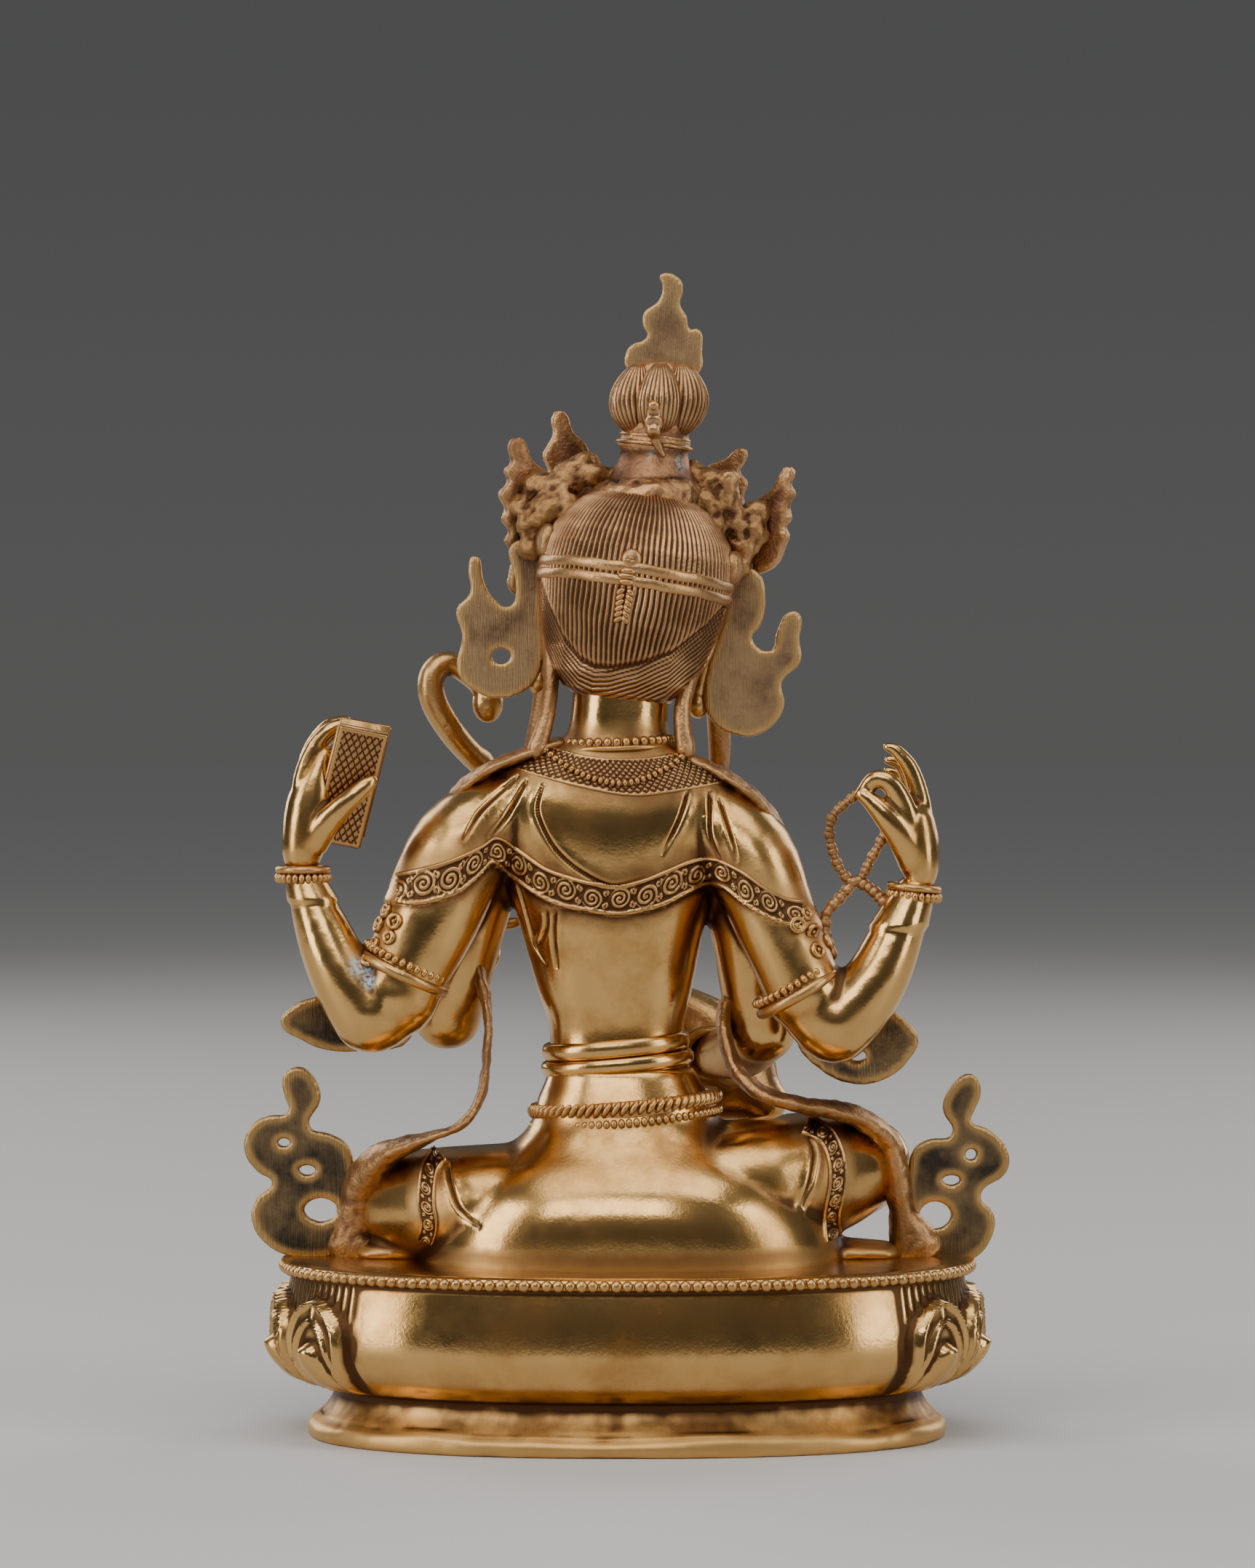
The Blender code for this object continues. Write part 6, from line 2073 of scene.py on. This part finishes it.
class STATUE_OT_body(PieceOperator, Operator):
    """Make the torso with all four arms and the crossed legs, with their dress"""

    bl_idname = "statue.body"
    bl_label = "Body and Dress"

    def execute(self, context):
        torso_mesh = build_torso()
        legs_mesh = build_legs()
        torso_tree, legs_tree = tree_of(torso_mesh), tree_of(legs_mesh)
        front_hem = relief_patch(
            torso_tree, FRONT_HEM_UPPER, FRONT_HEM_LOWER, rosette_relief(4.6), 130, 18, side=FRONT
        )
        front_collar = relief_patch(
            torso_tree, FRONT_COLLAR_UPPER, FRONT_COLLAR_LOWER, lattice_relief, 110, 28, side=FRONT
        )
        hem = relief_patch(torso_tree, HEM_UPPER, HEM_LOWER, rosette_relief(5.1), 440, 24)
        collar = relief_patch(torso_tree, COLLAR_UPPER, COLLAR_LOWER, lattice_relief, 160, 28)
        jewels = mesh_of(neck_beads(torso_tree))
        rings = mesh_of(armlet_ornament(torso_tree))
        # Painted shade on the torso near laid ornament, and painted shade and tarnish on the forward arms
        darken_near_ornament_and_seam(torso_mesh, [hem, collar, front_hem, front_collar, jewels, rings], reach=4.6)
        shade_and_tarnish_front_arms(torso_mesh)
        borders = [
            relief_patch(legs_tree, *band_between(line, BORDER_WIDE), rosette_relief(3.3), 120, 20)
            for line in (LEFT_BORDER, RIGHT_BORDER)
        ]
        # Painted shade on the legs near the borders, and darker towards the seam at their foot
        darken_near_ornament_and_seam(legs_mesh, borders, reach=4.0, seam=SEAM_TOP)
        laid = [
            ("left_border", borders[0], RELIEF), ("right_border", borders[1], RELIEF),
            ("neck_jewels", jewels, TRIM), ("armlet_rings", rings, TRIM),
            ("shawl_hem", hem, RELIEF), ("collar", collar, RELIEF),
            ("front_hem", front_hem, RELIEF), ("front_collar", front_collar, RELIEF),
        ]
        for name, mesh, rounds in laid:
            add_piece(name, mesh, brown_brass(), rounds)
        add_piece("torso", torso_mesh, polished_brass(), spots=ELBOW_SPOTS)
        add_piece("legs", legs_mesh, polished_brass())
        return {"FINISHED"}


class STATUE_OT_hands(PieceOperator, Operator):
    """Make the raised hands with the book and the rosary"""

    bl_idname = "statue.hands"
    bl_label = "Raised Hands"

    def execute(self, context):
        add_piece("left_hand", fused_mesh(left_hand(), voxel=0.48, rounds=3), polished_brass())
        add_piece("right_hand", fused_mesh(right_hand(), voxel=0.46, rounds=3), polished_brass())
        add_piece("book", mesh_of(book_boards()), brown_brass(), TRIM)
        add_piece("book_cover", mesh_of(book_cover()), brown_brass(), TRIM)
        add_piece("rosary", mesh_of(rosary_beads()), copper_cast(), TRIM)
        return {"FINISHED"}


class STATUE_OT_lute(PieceOperator, Operator):
    """Make the lute and the two forward hands that play it"""

    bl_idname = "statue.lute"
    bl_label = "Lute and Forward Hands"

    def execute(self, context):
        lute_mesh = fused_mesh(lute(), voxel=0.62, rounds=4)
        fittings = mesh_of(lute_fittings(tree_of(lute_mesh)))
        add_piece("front_hands", fused_mesh(front_hands(), voxel=0.5, rounds=2), brown_brass())
        add_piece("lute", lute_mesh, brown_brass())
        add_piece("lute_fittings", fittings, polished_brass(), TRIM)
        return {"FINISHED"}


class STATUE_OT_scarf(PieceOperator, Operator):
    """Make the scarf with its side scrolls and elbow tails"""

    bl_idname = "statue.scarf"
    bl_label = "Scarf"

    def execute(self, context):
        cloth = roughened(fused_mesh(scarf(), voxel=0.58, rounds=2), amount=0.35, grain=1.6)
        add_piece("scarf", stained(cloth, 0.45), copper_cast())
        add_piece("side_scrolls", fused_mesh(side_scrolls(), voxel=0.5, rounds=2), filed_plate())
        add_piece("elbow_tails", fused_mesh(elbow_tails(), voxel=0.5, rounds=2), filed_plate())
        return {"FINISHED"}


class STATUE_OT_jewels(PieceOperator, Operator):
    """Make the waist cords, armlets and bracelets"""

    bl_idname = "statue.jewels"
    bl_label = "Jewellery"

    def execute(self, context):
        add_piece("waist_cords", mesh_of(waist_cords()), brown_brass(), TRIM)
        add_piece("waist_rings", mesh_of(waist_rings()), polished_brass(), TRIM)
        add_piece("armlets", mesh_of(armlets()), brown_brass(), TRIM)
        return {"FINISHED"}


class STATUE_OT_head(PieceOperator, Operator):
    """Make the head with its combed hair and headband"""

    bl_idname = "statue.head"
    bl_label = "Head and Hair"

    def execute(self, context):
        roll = head_roll()
        add_piece("head", fused_mesh(turned(head(), roll), voxel=0.5, rounds=1), satin_brass())
        add_piece("hair_cap", mesh_of(turned(hair_cap(), roll)), bronze_hair(), HAIR)
        add_piece("side_locks", mesh_of(turned(side_locks(), roll)), bronze_hair(), TRIM)
        add_piece("headband", mesh_of(turned(headband(), roll)), bronze_hair(), TRIM)
        return {"FINISHED"}


class STATUE_OT_crown(PieceOperator, Operator):
    """Make the crown, the ear scrolls, the topknot and its flame"""

    bl_idname = "statue.crown"
    bl_label = "Crown and Topknot"

    def execute(self, context):
        crown_mesh = roughened(fused_mesh(crown_leaves(), voxel=0.52, rounds=2), amount=0.14, grain=1.6)
        jewels = mesh_of(crown_jewels(tree_of(crown_mesh)))
        add_piece("crown", crown_mesh, copper_cast())
        add_piece("crown_jewels", jewels, brown_brass(), TRIM)
        lumps = roughened(fused_mesh(casting_mass(), voxel=0.55, rounds=14), amount=0.5, grain=1.0)
        add_piece("casting_mass", stained(lumps, 0.8), copper_cast())
        add_piece("ear_scrolls", fused_mesh(ear_plates(), voxel=0.5, rounds=2), filed_brass())
        add_piece("ear_ties", fused_mesh(ear_ties(), voxel=0.55, rounds=2), copper_cast())
        drum = fused_mesh(topknot_drum(), voxel=0.58, rounds=2)
        drum = roughened(drum, amount=0.5, grain=1.3, below=DRUM_RIM_TOP)
        add_piece("topknot_drum", drum, copper_cast(), spots=BELL_SPOTS)
        add_piece("topknot", mesh_of(topknot_lobes()), bronze_hair(), TRIM)
        add_piece("topknot_tie", fused_mesh(topknot_tie(), voxel=0.36, rounds=2), bronze_hair(), TRIM)
        add_piece("finial", fused_mesh(finial(), voxel=0.45, rounds=2), filed_brass())
        return {"FINISHED"}


LIGHTS = (
    # Name, place, width and height, power
    ("left_box", (1.05, 0.55, 0.5), (0.45, 1), 7),
    ("right_box", (-1.05, 0.55, 0.5), (0.45, 1), 5),
    ("key_box", (0.25, 1.2, 1.05), (1.1, 0.5), 7),
    ("top_box", (0, 0.4, 1.2), (1.3, 0.7), 7),
    ("front_left_box", (0.85, -0.9, 0.6), (0.6, 0.9), 6),
    ("front_right_box", (-0.85, -0.9, 0.6), (0.6, 0.9), 5),
)
STATUE_MIDDLE = (0, 0, 0.11)
FLOOR_HALF = 6.0
HORIZON = (0.0965, 0.0962, 0.0955, 1)
WALL = (0.078, 0.078, 0.08, 1)
CEILING = (0.16, 0.16, 0.165, 1)
CAMERA_PLACE = (0, 1.1, 0.150)
CAMERA_LENS = 132.98
CAMERA_DIP = 1.384


def soft_light(name, place, size, power):
    """A large plain lamp turned to the statue."""
    light = bpy.data.lights.new(name, "AREA")
    light.shape = "RECTANGLE"
    light.size, light.size_y = size
    light.energy = power
    lamp = bpy.data.objects.new(name, light)
    lamp.location = place
    lamp.rotation_euler = (Vector(STATUE_MIDDLE) - Vector(place)).to_track_quat("-Z", "Y").to_euler()
    bpy.context.scene.collection.objects.link(lamp)


class STATUE_OT_stage(PieceOperator, Operator):
    """Make the pale floor, the soft lights and the camera"""

    bl_idname = "statue.stage"
    bl_label = "Stage"

    def execute(self, context):
        scene = context.scene
        form = bmesh.new()
        bmesh.ops.create_grid(form, x_segments=1, y_segments=1, size=FLOOR_HALF)
        floor = bpy.data.objects.new("floor", mesh_of(form))
        scene.collection.objects.link(floor)
        matt = bpy.data.materials.new("floor")
        matt.use_nodes = True
        shader = matt.node_tree.nodes["Principled BSDF"]
        shader.inputs["Base Color"].default_value = tuple(colours().floor)
        shader.inputs["Roughness"].default_value = 0.6
        floor.data.materials.append(matt)
        world = bpy.data.worlds.new("studio")
        world.use_nodes = True
        tree = world.node_tree
        ray = add_node(tree, "ShaderNodeTexCoord").outputs["Generated"]
        height = add_node(tree, "ShaderNodeSeparateXYZ", {}, {0: ray}).outputs["Z"]
        wall = mix_colours(tree, map_value(tree, height, 0.0, 0.1), HORIZON, WALL)
        sky = mix_colours(tree, map_value(tree, height, 0.15, 0.6), wall, CEILING)
        tree.links.new(sky, tree.nodes["Background"].inputs["Color"])
        scene.world = world
        for light in LIGHTS:
            soft_light(*light)
        camera_data = bpy.data.cameras.new("camera")
        camera_data.lens = CAMERA_LENS
        camera_data.sensor_width = 36.0
        camera_data.clip_start = 0.01
        camera = bpy.data.objects.new("camera", camera_data)
        camera.location = CAMERA_PLACE
        camera.rotation_euler = (math.radians(90 - CAMERA_DIP), 0.0, math.radians(180))
        scene.collection.objects.link(camera)
        scene.camera = camera
        return {"FINISHED"}


ORDER = ("base", "body", "hands", "lute", "scarf", "jewels", "head", "crown", "stage")


class STATUE_PT_panel(Panel):
    bl_label = "Seated Goddess Statue"
    bl_idname = "STATUE_PT_panel"
    bl_space_type = "VIEW_3D"
    bl_region_type = "UI"
    bl_category = "Statue"

    def draw(self, context):
        layout = self.layout
        scene = context.scene
        for group, names in ((scene.statue_sizes, StatueSizes), (scene.statue_colours, StatueColours)):
            box = layout.box()
            for name in names.__annotations__:
                box.prop(group, name)
        for name in ORDER:
            layout.operator(f"statue.{name}")


CLASSES = (
    StatueSizes,
    StatueColours,
    STATUE_OT_base,
    STATUE_OT_body,
    STATUE_OT_hands,
    STATUE_OT_lute,
    STATUE_OT_scarf,
    STATUE_OT_jewels,
    STATUE_OT_head,
    STATUE_OT_crown,
    STATUE_OT_stage,
    STATUE_PT_panel,
)


def register():
    for each in CLASSES:
        bpy.utils.register_class(each)
    bpy.types.Scene.statue_sizes = PointerProperty(type=StatueSizes)
    bpy.types.Scene.statue_colours = PointerProperty(type=StatueColours)


def unregister():
    del bpy.types.Scene.statue_colours
    del bpy.types.Scene.statue_sizes
    for each in reversed(CLASSES):
        bpy.utils.unregister_class(each)


def main():
    """Builds every piece."""
    register()
    for name in ORDER:
        getattr(bpy.ops.statue, name)()


if __name__ == "__main__":
    main()
